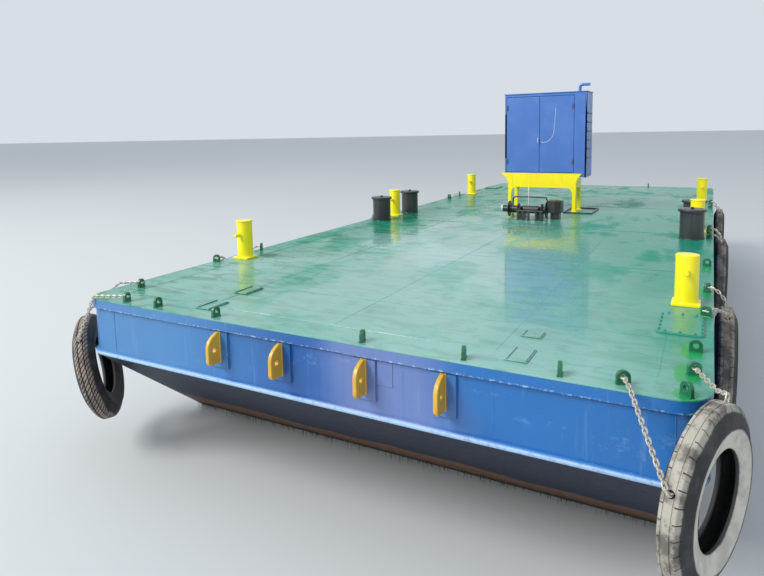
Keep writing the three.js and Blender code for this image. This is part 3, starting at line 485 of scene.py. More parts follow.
@dataclass(frozen=True)
class HullPaint:
    """Brushed blue enamel over old paint, painted lighter to port as painted light, chalky along the knuckle
    with a painted highlight, a painted shadow line under the sheer strip, and painted shade below the
    knuckle, stained there towards the water.
    """

    blue: Colour = srgb(24, 104, 176)
    deep: Colour = srgb(18, 84, 156)
    pale: Colour = srgb(120, 168, 210)
    mauve: Colour = srgb(120, 134, 186)
    # light: painted light, the paler blue that the port side is painted towards, as if lit from port.
    light: Colour = srgb(76, 134, 186)
    # Painted shade: the dark blue that the hull below the knuckle is painted, for the shade under its ends.
    painted_shade_navy: Colour = srgb(2, 26, 56)
    stain: Colour = srgb(128, 92, 66)
    growth: Colour = srgb(40, 38, 26)
    # The pale blue of worn edges, which on the knuckle bar is also a painted highlight.
    chalk_and_highlight: Colour = srgb(168, 202, 238)
    # groove: the dark blue of a painted shadow, the line under the sheer strip.
    groove: Colour = srgb(16, 44, 96)
    knuckle: float = 1.325
    knuckle_height: float = 0.05
    sheer: float = 1.745
    stain_top: float = 0.62
    growth_top: float = 0.42
    faded_at: float = 0.55
    light_from: float = -0.6

    def build(self) -> bpy.types.Material:
        """Makes the material."""
        paint = Paint("hull_paint")
        x, _, z = paint.axes()
        broad = paint.noise(1.1, 2.0)
        streaks = paint.noise((0.05, 0.05, 0.9), 5.0, 0.65, offset=3.0)
        chips = paint.noise(0.035, 6.0, 0.7, offset=7.0)
        colour = paint.mixed(self.deep, self.blue, broad.smooth(0.30, 0.62))
        # Painted light: the port side is painted towards the paler blue, as if lit from there.
        sunny = (x + broad * 0.8).smooth(self.light_from + 0.9, self.light_from - 0.6)
        colour = paint.mixed(colour, self.light, sunny * 0.7)
        faded = abs(x - self.faded_at + (broad - 0.5) * 0.8).smooth(0.75, 0.25)
        colour = paint.mixed(colour, self.mauve, faded * (0.45 + 0.4 * streaks))
        colour = paint.mixed(colour, self.pale, streaks.smooth(0.56, 0.80) * 0.30)
        patches = paint.noise((0.30, 0.30, 0.16), 6.0, 0.7, offset=11.0).smooth(0.56, 0.68)
        colour = paint.mixed(colour, self.pale, patches * chips.smooth(0.46, 0.60) * 0.30)
        middle = self.knuckle + self.knuckle_height * 0.4
        # The knuckle bar is painted pale all along: partly worn chalky paint, partly a painted highlight
        # where the round bar catches the light.
        rubbed = abs(z - middle).smooth(self.knuckle_height * 0.44, self.knuckle_height * 0.24)
        colour = paint.mixed(colour, self.chalk_and_highlight, rubbed * (0.62 + 0.35 * chips.smooth(0.36, 0.52)))
        scuffed = abs(z - self.sheer - 0.006).smooth(0.010, 0.004) * chips.smooth(0.50, 0.60)
        colour = paint.mixed(colour, self.chalk_and_highlight, scuffed * 0.7)
        # A painted shadow: a dark line just under the sheer strip's lower edge, where the proud strip shades
        # the plate.
        shaded = abs(z - self.sheer + 0.006).smooth(0.008, 0.004)
        colour = paint.mixed(colour, self.groove, shaded * 0.85)
        # Below the knuckle the hull is painted dark as painted shade, with real stains and growth mixed in
        # towards the water.
        under = z.smooth(self.knuckle + 0.002, self.knuckle - 0.004)
        soiled = z + paint.noise((0.5, 0.5, 0.12), 5.0, 0.6, offset=5.0) * 0.30
        dark = paint.mixed(self.painted_shade_navy, self.stain, soiled.smooth(self.stain_top + 0.17, self.stain_top + 0.10)
                           * (0.45 + 0.5 * chips.smooth(0.35, 0.6)))
        slime = (z + streaks * 0.25).smooth(self.growth_top + 0.16, self.growth_top + 0.06)
        dark = paint.mixed(dark, self.growth, slime)
        colour = paint.mixed(colour, dark, under)
        rough = 0.30 + 0.35 * rubbed + 0.22 * streaks + 0.25 * under
        peel = paint.bumped(paint.noise(0.012, 3.0, 0.6), 0.0006)
        normal = paint.bumped(chips + 0.6 * streaks, 0.0022, peel)
        return paint.finish(colour, rough, normal, coat=0.25 - 0.22 * under, coat_roughness=0.2)


@dataclass(frozen=True)
class DeckPaint:
    """Green deck paint, mottled to port, with whitish patches and a painted reflection of the pale sky down
    the middle, and fresher round some fittings.
    """

    teal: Colour = srgb(20, 138, 114)
    green: Colour = srgb(6, 108, 66)
    # Whitish: the paint's own pale patches, and down the middle a painted reflection of the pale sky.
    milky_and_sky_reflection: Colour = srgb(140, 186, 178)
    fresh: Colour = srgb(14, 152, 78)
    seam: Colour = srgb(16, 72, 60)
    ior: float = 1.33
    touched: tuple[tuple[float, float, float, float], ...] = (
        (2.31, -6.00, 0.07, 0.09), (2.31, -5.70, 0.08, 0.17), (2.32, -5.30, 0.07, 0.17),
        (2.38, -4.40, 0.05, 0.20), (2.38, -3.72, 0.06, 0.22), (2.37, -2.65, 0.05, 0.20),
    )

    def build(self) -> bpy.types.Material:
        """Makes the material."""
        paint = Paint("deck_paint")
        x, y, _ = paint.axes()
        broad = paint.noise((1.6, 2.6, 1.0), 3.0, 0.5, warp=0.4)
        brushed = paint.noise((0.34, 0.10, 0.2), 6.0, 0.62, offset=4.0, warp=0.8)
        portside = (x - 0.25 * y + broad * 3.0).smooth(2.3, -0.4)
        # Down the middle the deck is painted whitish as a painted reflection of the pale sky on its wet
        # film.
        centre = (x + 0.35 * y + broad).smooth(1.3, -0.1) * (1 - portside)
        milk_and_reflection = (0.35 * broad.smooth(0.45, 0.70) + 0.6 * centre).least(1.0)
        colour = paint.mixed(self.teal, self.milky_and_sky_reflection, milk_and_reflection)
        mottle = brushed.smooth(0.49, 0.58) * (0.22 + 0.78 * portside)
        colour = paint.mixed(colour, self.green, mottle)
        specks = paint.noise(0.02, 5.0, 0.7, offset=9.0)
        colour = paint.mixed(colour, self.seam, specks.smooth(0.66, 0.74) * 0.5)
        ragged = paint.noise(0.05, 4.0, 0.6, offset=2.0)
        spots = None
        for spot_x, spot_y, half_width, half_length in self.touched:
            across, along = (x - spot_x) * (1 / half_width), (y - spot_y) * (1 / half_length)
            spot = (across * across + along * along + (ragged - 0.5) * 1.6).smooth(1.0, 0.7)
            spots = spot if spots is None else spots.most(spot)
        colour = paint.mixed(colour, self.fresh, spots * 0.85)
        film = paint.noise((0.5, 0.9, 0.5), 4.0, 0.6, offset=6.0)
        rough = 0.16 + 0.30 * film.smooth(0.50, 0.68) + 0.15 * specks
        ripple = paint.bumped(paint.noise((0.16, 0.09, 0.2), 3.0, 0.55, offset=8.0), 0.0022)
        normal = paint.bumped(brushed + 0.5 * specks, 0.0022, ripple)
        coat = centre * (0.30 + 0.45 * film.smooth(0.62, 0.46))
        return paint.finish(colour, rough, normal, coat=coat, coat_roughness=0.06, ior=self.ior)


@dataclass(frozen=True)
class Enamel:
    """Gloss paint on steel, faded in clouds, chipped to what is under it and streaked with dirt."""

    name: str
    colour: Colour
    faded: Colour
    chipped: Colour
    dirt: Colour
    chips: float = 0.70
    dirt_share: float = 0.25
    fade_share: float = 0.6
    rough: float = 0.32
    metallic: float = 0.0
    coat: float = 0.25
    grain: float = 0.0008

    def build(self) -> bpy.types.Material:
        """Makes the material: chips where a fine noise passes a level, dirt in tall thin streaks."""
        paint = Paint(self.name)
        broad = paint.noise(0.35, 3.0)
        fine = paint.noise(0.022, 6.0, 0.7, offset=5.0)
        streaks = paint.noise((0.03, 0.03, 0.5), 5.0, 0.6, offset=2.0)
        colour = paint.mixed(self.colour, self.faded, broad.smooth(0.42, 0.66) * self.fade_share)
        colour = paint.mixed(colour, self.dirt, streaks.smooth(0.54, 0.78) * self.dirt_share)
        bare = fine.smooth(self.chips, self.chips + 0.035)
        colour = paint.mixed(colour, self.chipped, bare)
        rough = self.rough + 0.22 * streaks.smooth(0.4, 0.8) + 0.3 * bare
        peel = paint.bumped(paint.noise(0.009, 3.0, 0.6), self.grain)
        normal = paint.bumped(1 - bare, 0.0008, peel)
        return paint.finish(colour, rough, normal, metallic=self.metallic, coat=self.coat,
                            coat_roughness=0.12)


class Tread(Enum):
    """How a fender tyre's tread is cut."""

    SLOTTED = "slotted"
    DIAGONAL = "diagonal"
    RIBBED = "ribbed"


@dataclass(frozen=True)
class TyreRubber:
    """Old tyre: greyed tread, dark side wall, a ring at the rim rubbed pale, and painted shade inside the
    casing and at the bottom of the tread's cuts.

    The piece's form map gives the distance from the axle and the place across the tyre, in metres, and its
    chart map's first number is 1 at the bottom of the tread's cuts.
    """

    name: str
    tread: Colour
    scuffed: Colour
    dark: Colour = srgb(40, 42, 43)
    wall: Colour = srgb(66, 67, 67)
    pale_wall: float = 0.0
    cream: Colour = srgb(206, 203, 192)
    tread_radius: float = 0.430
    ring_low: float = 0.250
    ring_high: float = 0.352
    scuff_low: float = 0.40
    scuff_high: float = 0.58

    def build(self) -> bpy.types.Material:
        """Makes the material."""
        paint = Paint(self.name)
        radius, across = paint.chart("form")
        sunk, _ = paint.chart("chart")
        clouds = paint.noise(0.13, 6.0, 0.66, offset=3.0)
        fine = paint.noise(0.014, 5.0, 0.7, offset=1.0)
        wander = (clouds - 0.5) * 0.05
        on_tread = (radius + wander * 0.6).smooth(self.tread_radius - 0.006, self.tread_radius + 0.008)
        worn = (clouds + 0.25 * (fine - 0.5)).smooth(self.scuff_low, self.scuff_high)
        top = paint.mixed(self.tread, self.scuffed, worn)
        top = paint.mixed(top, self.dark, fine.smooth(0.60, 0.74) * 0.45)
        # Painted shade: the bottoms of the tread's cuts are painted dark.
        top = paint.mixed(top, self.dark, sunk * 0.85)
        side = paint.mixed(self.dark, self.wall, clouds.smooth(0.40, 0.66))
        ring_in = (radius + wander * 0.5).smooth(self.ring_low - 0.004, self.ring_low + 0.006)
        ring_out = (radius + wander * 0.5).smooth(self.ring_high + 0.008, self.ring_high - 0.008)
        rubbed = ring_in * ring_out * across.smooth(0.050, 0.058) * self.pale_wall
        side = paint.mixed(side, self.cream, rubbed * (0.74 + 0.26 * clouds.smooth(0.35, 0.6)))
        edge = self.tread_radius
        # Painted shade: the inside of the casing, and the bead, are painted the dark rubber colour.
        lining = abs(across).smooth(0.055, 0.048) * radius.smooth(edge, edge - 0.02)
        colour = paint.mixed(side, self.dark, lining)
        outside = abs(across).smooth(0.036, 0.042).most(radius.smooth(edge + 0.018, edge + 0.022))
        colour = paint.mixed(colour, top, on_tread * outside)
        grain = paint.bumped(fine, 0.0009)
        normal = paint.bumped(clouds, 0.0030, grain)
        rough = 0.62 + 0.30 * clouds
        return paint.finish(colour, rough, normal)


@dataclass(frozen=True)
class Galvanised:
    """Zinc gone dull and chalky, with rust coming through in patches."""

    zinc: Colour = srgb(222, 218, 206)
    dull: Colour = srgb(168, 162, 150)
    rust: Colour = srgb(140, 96, 64)

    def build(self) -> bpy.types.Material:
        """Makes the material."""
        paint = Paint("galvanised")
        clouds = paint.noise(0.05, 4.0, 0.6)
        fine = paint.noise(0.006, 4.0, 0.7, offset=2.0)
        colour = paint.mixed(self.zinc, self.dull, fine.smooth(0.40, 0.62))
        rusty = (clouds + fine * 0.5).smooth(0.86, 0.98)
        colour = paint.mixed(colour, self.rust, rusty)
        normal = paint.bumped(fine, 0.0006)
        return paint.finish(colour, 0.45 + 0.4 * rusty, normal, metallic=0.55 - 0.5 * rusty)


@dataclass(frozen=True)
class Weed:
    """River weed hanging wet from the plating."""

    green: Colour = srgb(62, 66, 34)
    brown: Colour = srgb(74, 52, 34)

    def build(self) -> bpy.types.Material:
        """Makes the material."""
        paint = Paint("river_weed")
        clouds = paint.noise(0.04, 4.0, 0.6)
        colour = paint.mixed(self.green, self.brown, clouds.smooth(0.42, 0.58))
        return paint.finish(colour, 0.35 + 0.3 * clouds, paint.bumped(clouds, 0.001))


YELLOW = Enamel("yellow_paint", srgb(255, 240, 8), srgb(254, 226, 16), srgb(150, 116, 40),
                srgb(196, 150, 22), chips=0.745, dirt_share=0.30, rough=0.30)
# The towing eyes' yellow: the safety yellow made darker and ochre, partly dulled by rust and partly painted
# shade.
EYE_YELLOW_RUST_AND_SHADE = Enamel("eye_yellow_paint", srgb(208, 162, 40), srgb(228, 186, 60), srgb(150, 112, 60),
                    srgb(128, 96, 48), chips=0.72, dirt_share=0.4, rough=0.42)
BLACK = Enamel("black_paint", srgb(38, 41, 43), srgb(62, 66, 67), srgb(88, 74, 62), srgb(92, 90, 84),
               chips=0.72, dirt_share=0.35, rough=0.38)
CABINET = Enamel("cabinet_paint", srgb(66, 112, 190), srgb(80, 124, 198), srgb(120, 150, 196),
                 srgb(104, 146, 212), chips=0.80, dirt_share=0.25, rough=0.40)
# The pad-eyes' green: a darker copy of the deck's green, painted shade.
FITTING_GREEN_IN_PAINTED_SHADE = Enamel("fitting_green_painted_shade", srgb(18, 98, 66), srgb(28, 122, 84), srgb(60, 50, 40),
                       srgb(20, 60, 48), chips=0.70, dirt_share=0.4, rough=0.30)
HINGE_STEEL = Enamel("hinge_steel", srgb(74, 92, 140), srgb(60, 70, 100), srgb(92, 66, 56), srgb(60, 50, 50),
                     chips=0.55, dirt_share=0.5, rough=0.45)
BRIGHT_STEEL = Enamel("bright_steel", srgb(214, 218, 220), srgb(190, 194, 198), srgb(120, 110, 100),
                      srgb(120, 112, 104), chips=0.70, rough=0.34, metallic=0.3, coat=0.0)
GREY = Enamel("machine_grey_paint", srgb(96, 100, 102), srgb(116, 120, 120), srgb(70, 62, 54),
              srgb(48, 44, 40), chips=0.70, rough=0.45)
WHITE = Enamel("white_paint", srgb(224, 224, 218), srgb(204, 204, 196), srgb(120, 110, 96),
               srgb(150, 144, 130), chips=0.70, rough=0.40)
WORN_TYRE = TyreRubber("worn_tyre", srgb(104, 99, 94), srgb(170, 166, 156), pale_wall=1.0)
BROWN_TYRE = TyreRubber("brown_tyre", srgb(126, 114, 108), srgb(160, 146, 136), tread_radius=0.472)
SIDE_TYRE = TyreRubber("side_tyre", srgb(92, 86, 80), srgb(140, 134, 126), pale_wall=0.35)

_materials: dict[object, bpy.types.Material] = {}


def material_of(finish: object) -> bpy.types.Material:
    """The material of a finish, made the first time that it is asked for."""
    if finish not in _materials:
        _materials[finish] = finish.build()
    return _materials[finish]


# Pieces


def close_up(mesh: bpy.types.Mesh) -> None:
    """Merges a mesh's doubled points and turns its faces outwards."""
    built = bmesh.new()
    built.from_mesh(mesh)
    bmesh.ops.remove_doubles(built, verts=built.verts, dist=MERGED)
    bmesh.ops.recalc_face_normals(built, faces=built.faces)
    built.to_mesh(mesh)
    built.free()


def put_in_scene(name: str, data: bpy.types.ID) -> bpy.types.Object:
    """A new object that holds the data, linked to the scene."""
    made = bpy.data.objects.new(name, data)
    bpy.context.scene.collection.objects.link(made)
    return made


def side_name(side: int) -> str:
    """The word for a side: port at -1, starboard at 1."""
    return "port" if side < 0 else "starboard"


def foot_of(node: str) -> tuple[float, float, float]:
    """The middle of the underside of a node's box."""
    low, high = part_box(node)
    return (low.x + high.x) / 2, (low.y + high.y) / 2, low.z


def make_piece(name: str, patch: Patch, finish: object, slot: Slot, body: Body = Body.BARGE,
               stands_for: tuple[str, ...] = (), bevel: float = 0.0,
               sharp: float = 35.0) -> bpy.types.Object:
    """Puts a patch into a mesh, closes it, dresses it and lets it ride.

    Args:
        name: the piece's name.
        patch: its surfaces, in the frame's place.
        finish: what it is finished in.
        slot: the record's material slot it belongs to; not used.
        body: the body it rides on.
        stands_for: the frame's nodes that it replaces.
        bevel: the width of its rounded edges, 0 for none.
        sharp: the angle in degrees over which an edge stays sharp.

    Returns:
        The piece's object.
    """
    mesh = bpy.data.meshes.new(name)
    mesh.from_pydata(patch.points.tolist(), [], patch.quads.tolist() + patch.polys)
    corners = np.concatenate([patch.quads.ravel(), *[np.array(poly) for poly in patch.polys]]).astype(int)
    for layer, values in (("chart", patch.chart), ("form", patch.form)):
        mesh.uv_layers.new(name=layer).data.foreach_set("uv", values[corners].ravel())
    close_up(mesh)
    mesh.shade_smooth()
    mesh.set_sharp_from_angle(angle=math.radians(sharp))
    mesh.materials.append(material_of(finish))
    piece = put_in_scene(name, mesh)
    if bevel:
        rounding = piece.modifiers.new("edges", "BEVEL")
        rounding.width = bevel
        rounding.segments = 2
        rounding.limit_method = "ANGLE"
        rounding.angle_limit = math.radians(sharp)
        rounding.harden_normals = True
    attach(piece, body.value)
    if stands_for:
        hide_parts(*stands_for)
    LOG.info("%s: %d faces on %s", name, len(mesh.polygons), body.value)
    return piece


# The barge


@dataclass(frozen=True)
class Form:
    """The barge's driving dimensions, and the places that follow from them."""

    half_length: float = 6.095
    half_beam: float = 2.44
    deck: float = 1.83
    corner: float = 0.20
    knuckle: float = 1.325
    rake_run: float = 1.68
    waterline: float = 0.325
    deck_plate: float = 0.010
    headlog_plate: float = 0.020
    strip: float = 0.025
    strip_height: float = 0.085

    @property
    def shell_inset(self) -> float:
        """How far the shell's face stands inside the deck edge."""
        return self.strip + self.headlog_plate + GAP

    @property
    def shell_end(self) -> float:
        """The shell's flat end, from the middle of the barge."""
        return self.half_length - self.shell_inset

    @property
    def plate_face(self) -> float:
        """The headlog plate's face, from the middle of the barge."""
        return self.half_length - self.strip

    @property
    def shell_top(self) -> float:
        """The height where the shell ends under the deck plates."""
        return self.deck - self.deck_plate - GAP

    @property
    def foot(self) -> float:
        """Where each rake starts, from the middle of the barge."""
        return self.half_length - self.rake_run

    def at(self, station: float) -> float:
        """Y of a station, which counts forward from the aft edge of the deck."""
        return station - self.half_length


FORM = Form()


def rippled(x: Array, y: Array, seed: int, waves: int, longest: float, shortest: float) -> Array:
    """A gentle unevenness between -1 and 1: a mean of sine waves of random heading, length and phase."""
    rng = np.random.default_rng(seed)
    heading = rng.uniform(0, FULL_TURN, waves)
    number = FULL_TURN / np.geomspace(longest, shortest, waves)
    phase = rng.uniform(0, FULL_TURN, waves)
    share = np.geomspace(1, shortest / longest, waves)
    total = sum(a * np.sin(k * (x * math.cos(h) + y * math.sin(h)) + p)
                for a, k, h, p in zip(share, number, heading, phase))
    return total / share.sum()


@dataclass
class Shell:
    """The hull's shell: flat bottom, raked ends, upright sides with round corners, dented between frames."""

    form: Form = FORM
    frame_pitch: float = 0.61
    dent: float = 0.006
    wall_rows: int = 15
    floor_columns: int = 49
    end_flat: float = 0.4
    seam_stations: tuple[float, ...] = (-4.27, -2.135, 0.0, 2.135, 4.27)
    seam_width: float = 0.008
    seam_foot: float = 0.02
    seam_head: float = 1.73

    def stations(self) -> tuple[Array, Array]:
        """Y along the shell and its half width there.

        On a corner of radius r they are length - r + r sin t and beam - r + r cos t.
        """
        beam = self.form.half_beam - self.form.shell_inset
        length = self.form.shell_end
        radius = self.form.corner - self.form.shell_inset
        turn = np.linspace(0, math.pi / 2, 13)
        corner_y, corner_w = length - radius + radius * np.sin(turn), beam - radius + radius * np.cos(turn)
        straight = np.union1d(np.linspace(-(length - radius), length - radius, 161),
                              [-self.form.foot, self.form.foot])
        y = np.concatenate([-corner_y[::-1], straight[1:-1], corner_y])
        return y, np.concatenate([corner_w[::-1], np.full(len(straight) - 2, beam), corner_w])

    def lift(self, y: Array) -> Array:
        """The height of the bottom: 0 on the flat, and straight up each rake to the knuckle."""
        run = self.form.shell_end - self.form.foot
        return np.clip((np.abs(y) - self.form.foot) / run, 0, 1) * self.form.knuckle

    def dented(self, y: Array, share: Array, seed: int) -> Array:
        """How far the plate is pushed in: most between frames and half way up, none at its edges."""
        between = np.sin(np.pi * y / self.frame_pitch) ** 2
        uneven = 0.6 + 0.4 * rippled(y, share * 3, seed, 5, 3.0, 0.7)
        return self.dent * between * uneven * np.sin(np.pi * share) ** 0.5

    def patch(self) -> Patch:
        """Sides, bottom, top and the two flat ends, all on the same stations."""
        y, width = self.stations()
        low = self.lift(y)
        top = self.form.shell_top
        rise = np.linspace(0, 1, self.wall_rows)[None]
        parts = []
        for side in (-1, 1):
            z = low[:, None] + rise * (top - low[:, None])
            x = side * (width[:, None] - self.dented(y[:, None], rise + 0 * y[:, None], 3 + side))
            parts.append(grid(np.stack([x, np.broadcast_to(y[:, None], x.shape), z], axis=-1)))
        across = np.linspace(-1, 1, self.floor_columns)[None]
        x = width[:, None] * across
        wide_y = np.broadcast_to(y[:, None], x.shape)
        ends = np.sin(np.pi * np.clip((self.form.shell_end - np.abs(wide_y)) / self.end_flat, 0, 1) / 2)
        floor = low[:, None] + self.dented(wide_y, (across + 1) / 2 + 0 * wide_y, 9) * ends
        parts.append(grid(np.stack([x, wide_y, floor], axis=-1)))
        parts.append(grid(np.stack([x, wide_y, np.full(x.shape, top)], axis=-1)))
        for end in (0, -1):
            z = np.broadcast_to((low[end] + rise * (top - low[end])).T, (self.wall_rows, self.floor_columns))
            flat = np.stack([np.broadcast_to(x[end], z.shape), np.full(z.shape, y[end]), z], axis=-1)
            parts.append(grid(flat))
        return joined(*parts)

    def seams(self) -> Patch:
        """Upright weld beads on both sides."""
        beam = self.form.half_beam - self.form.shell_inset - 0.001
        beads = [bead([(side * beam, station, self.seam_foot), (side * beam, station, self.seam_head)],
                      self.seam_width, 40 + 2 * i + side)
                 for i, station in enumerate(self.seam_stations) for side in (-1, 1)]
        return joined(*beads)

    def make(self) -> None:
        """Makes the shell and its seams."""
        make_piece("hull_shell", self.patch(), HullPaint(), Slot.HULL, stands_for=("hull",), sharp=25)
        make_piece("hull_seams", self.seams(), HullPaint(), Slot.HULL)


@dataclass
class WeedFringe:
    """River weed that hangs in short tapered strands off both rakes, just over the water."""

    form: Form = FORM
    count: int = 620
    longest: float = 0.10
    thick: float = 0.0024
    sway: float = 0.006
    reach: float = 2.36

    def make(self) -> None:
        """Makes the strands: centre (root x, root y, root z - drop s), with a sway that goes as s^2."""
        rng = np.random.default_rng(21)
        x = rng.uniform(-self.reach, self.reach, self.count)
        end = rng.choice([-1.0, 1.0], self.count)
        root = self.form.waterline + 0.016 + rng.uniform(0, self.longest, self.count)
        drop = (root - self.form.waterline - 0.002) * rng.uniform(0.55, 1.0, self.count)
        y = end * (self.form.foot + root / self.form.knuckle * (self.form.shell_end - self.form.foot))
        rows = np.linspace(0, 1, 5)
        taper = np.array([0.0, 0.9, 0.8, 0.5, 0.0])
        thick = self.thick * rng.uniform(0.6, 1.3, self.count)[:, None] * taper
        sway = rng.normal(0, self.sway, (self.count, 2))[:, None] * rows[None, :, None] ** 2
        centre = np.stack([x[:, None] + sway[..., 0], y[:, None] + sway[..., 1] * 0.4,
                           root[:, None] + 0.004 - drop[:, None] * rows], axis=-1)
        turn = np.linspace(0, FULL_TURN, 4)
        circle = np.stack([np.cos(turn), np.sin(turn), 0 * turn], axis=-1)
        rings = centre[:, :, None] + thick[..., None, None] * circle
        make_piece("weed_fringe", joined(*[grid(strand) for strand in rings]), Weed(), Slot.HULL)


@dataclass
class Deck:
    """The deck's two plates, their seams, and the pad-eyes that stand on the outer one."""

    form: Form = FORM
    stringer: float = 0.28
    step: float = 0.06
    ripple: float = 0.0009
    seam_stations: tuple[float, ...] = (0.97, 3.05, 5.35, 7.95, 10.2)
    seam_lines: tuple[float, ...] = (-1.22, 0.0, 1.22)
    bead_width: float = 0.009

    def height(self, x: Array, y: Array) -> Array:
        """The top of the plating: the deck less a small unevenness."""
        return self.form.deck - self.ripple * (1 + rippled(x, y, 5, 9, 2.2, 0.28))

    def plate(self) -> Patch:
        """The middle plate: an uneven top, straight walls and a flat underside."""
        half_x = self.form.half_beam - self.stringer - GAP
        half_y = self.form.half_length - self.stringer - GAP
        xs = np.linspace(-half_x, half_x, round(2 * half_x / self.step))
        ys = np.linspace(-half_y, half_y, round(2 * half_y / self.step))
        x, y = np.meshgrid(xs, ys)
        top = np.stack([x, y, self.height(x, y)], axis=-1)
        rim = np.concatenate([top[0, :-1], top[:-1, -1], top[-1, :0:-1], top[:0:-1, 0]])
        under = rim.copy()
        under[:, 2] = self.form.deck - self.form.deck_plate
        walls = grid(np.stack([np.concatenate([rim, rim[:1]]), np.concatenate([under, under[:1]])]))
        floor = Patch(under, np.zeros((0, 4), int), [list(range(len(under)))])
        return joined(grid(top), walls, floor)

    def edge_plate(self) -> Patch:
        """The stringer plate: a ring from the middle opening to the rounded deck edge, its rim eased."""
        loop = rounded(2 * self.form.half_beam, 2 * self.form.half_length, self.form.corner, 12)
        outer = resampled(np.concatenate([loop, loop[:1]]), 0.05)
        opening = (self.form.half_beam - self.stringer, self.form.half_length - self.stringer)
        inner = np.clip(outer, [-opening[0], -opening[1]], opening)
        near = np.abs(outer) > np.array(opening)
        corner = near.all(axis=1)
        inner[corner] = np.sign(outer[corner]) * opening
        centre_x, centre_y = self.form.half_beam - self.form.corner, self.form.half_length - self.form.corner
        away = outer - np.clip(outer, [-centre_x, -centre_y], [centre_x, centre_y])
        away /= np.linalg.norm(away, axis=1, keepdims=True)
        low = self.form.deck - self.form.deck_plate
        ease = 0.004
        rows = []
        for share in np.linspace(0, 1, 7):
            flat = inner + share * (outer - away * ease - inner)
            rows.append(np.column_stack([flat, self.height(flat[:, 0], flat[:, 1])]))
        rows.append(np.column_stack([outer, np.full(len(outer), self.form.deck - ease)]))
        rows.append(np.column_stack([outer, np.full(len(outer), low)]))
        rows.append(np.column_stack([inner, np.full(len(inner), low)]))
        rows.append(rows[0])
        return grid(np.stack(rows))

    def seams(self) -> Patch:
        """Weld beads across and along the plating, half sunk in it."""
        half_x = self.form.half_beam - self.stringer
        half_y = self.form.half_length - self.stringer
        level = self.form.deck - 0.003
        lines = [[(-half_x, self.form.at(s), level), (half_x, self.form.at(s), level)]
                 for s in self.seam_stations]
        lines += [[(x, -half_y, level), (x, half_y, level)] for x in self.seam_lines]
        lines += [[(s * half_x, -half_y, level), (s * half_x, half_y, level)] for s in (-1, 1)]
        lines += [[(-half_x, s * half_y, level), (half_x, s * half_y, level)] for s in (-1, 1)]
        return joined(*[bead(line, self.bead_width, 60 + i) for i, line in enumerate(lines)])

    def make(self, eyes: "list[PadEye]") -> None:
        """Makes both plates, the seams and the pad-eyes."""
        make_piece("deck_middle", self.plate(), DeckPaint(), Slot.DECK,
                   stands_for=("deck_plate", "deck_plate_aft"))
        make_piece("deck_edge", self.edge_plate(), DeckPaint(), Slot.DECK, stands_for=("stringer_plate",))
        make_piece("deck_seams", self.seams(), DeckPaint(), Slot.DECK)
        # The pad-eyes are painted a darker green than the deck, as painted shade.
        make_piece("pad_eyes", joined(*[eye.patch() for eye in eyes]), FITTING_GREEN_IN_PAINTED_SHADE, Slot.DECK, bevel=0.002)


@dataclass
class PadEye:
    """A lifting and lashing eye: an upright plate with a round head and a hole, welded to the deck."""

    x: float
    y: float
    turn: float
    form: Form = FORM
    width: float = 0.078
    height: float = 0.080
    thick: float = 0.024
    hole: float = 0.017
    hole_up: float = 0.041
    weld: float = 0.010

    @property
    def hole_height(self) -> float:
        """Z of the middle of the hole."""
        return self.form.deck + self.hole_up

    def patch(self) -> Patch:
        """The plate in its own plane, its round head over straight sides, turned and put in place."""
        half = self.width / 2
        outline = np.concatenate([arc((0, self.height - half), half, 0, 180, 18),
                                  [(-half, -0.004), (half, -0.004)]])
        plate = bored(outline, (0, self.hole_up), self.hole, -self.thick / 2, self.thick / 2, "xz",
                      lip=0.002)
        welds = [bead([(-half, side * self.thick / 2, 0.001), (half, side * self.thick / 2, 0.001)],
                      self.weld, 5)
                 for side in (-1, 1)]
        turn = Matrix.Rotation(math.radians(self.turn), 4, "Z")
        return joined(plate, *welds).moved(Matrix.Translation((self.x, self.y, self.form.deck)) @ turn)


class End(Enum):
    """The two ends of the barge, and the sign of Y there."""

    AFT = -1
    FORE = 1


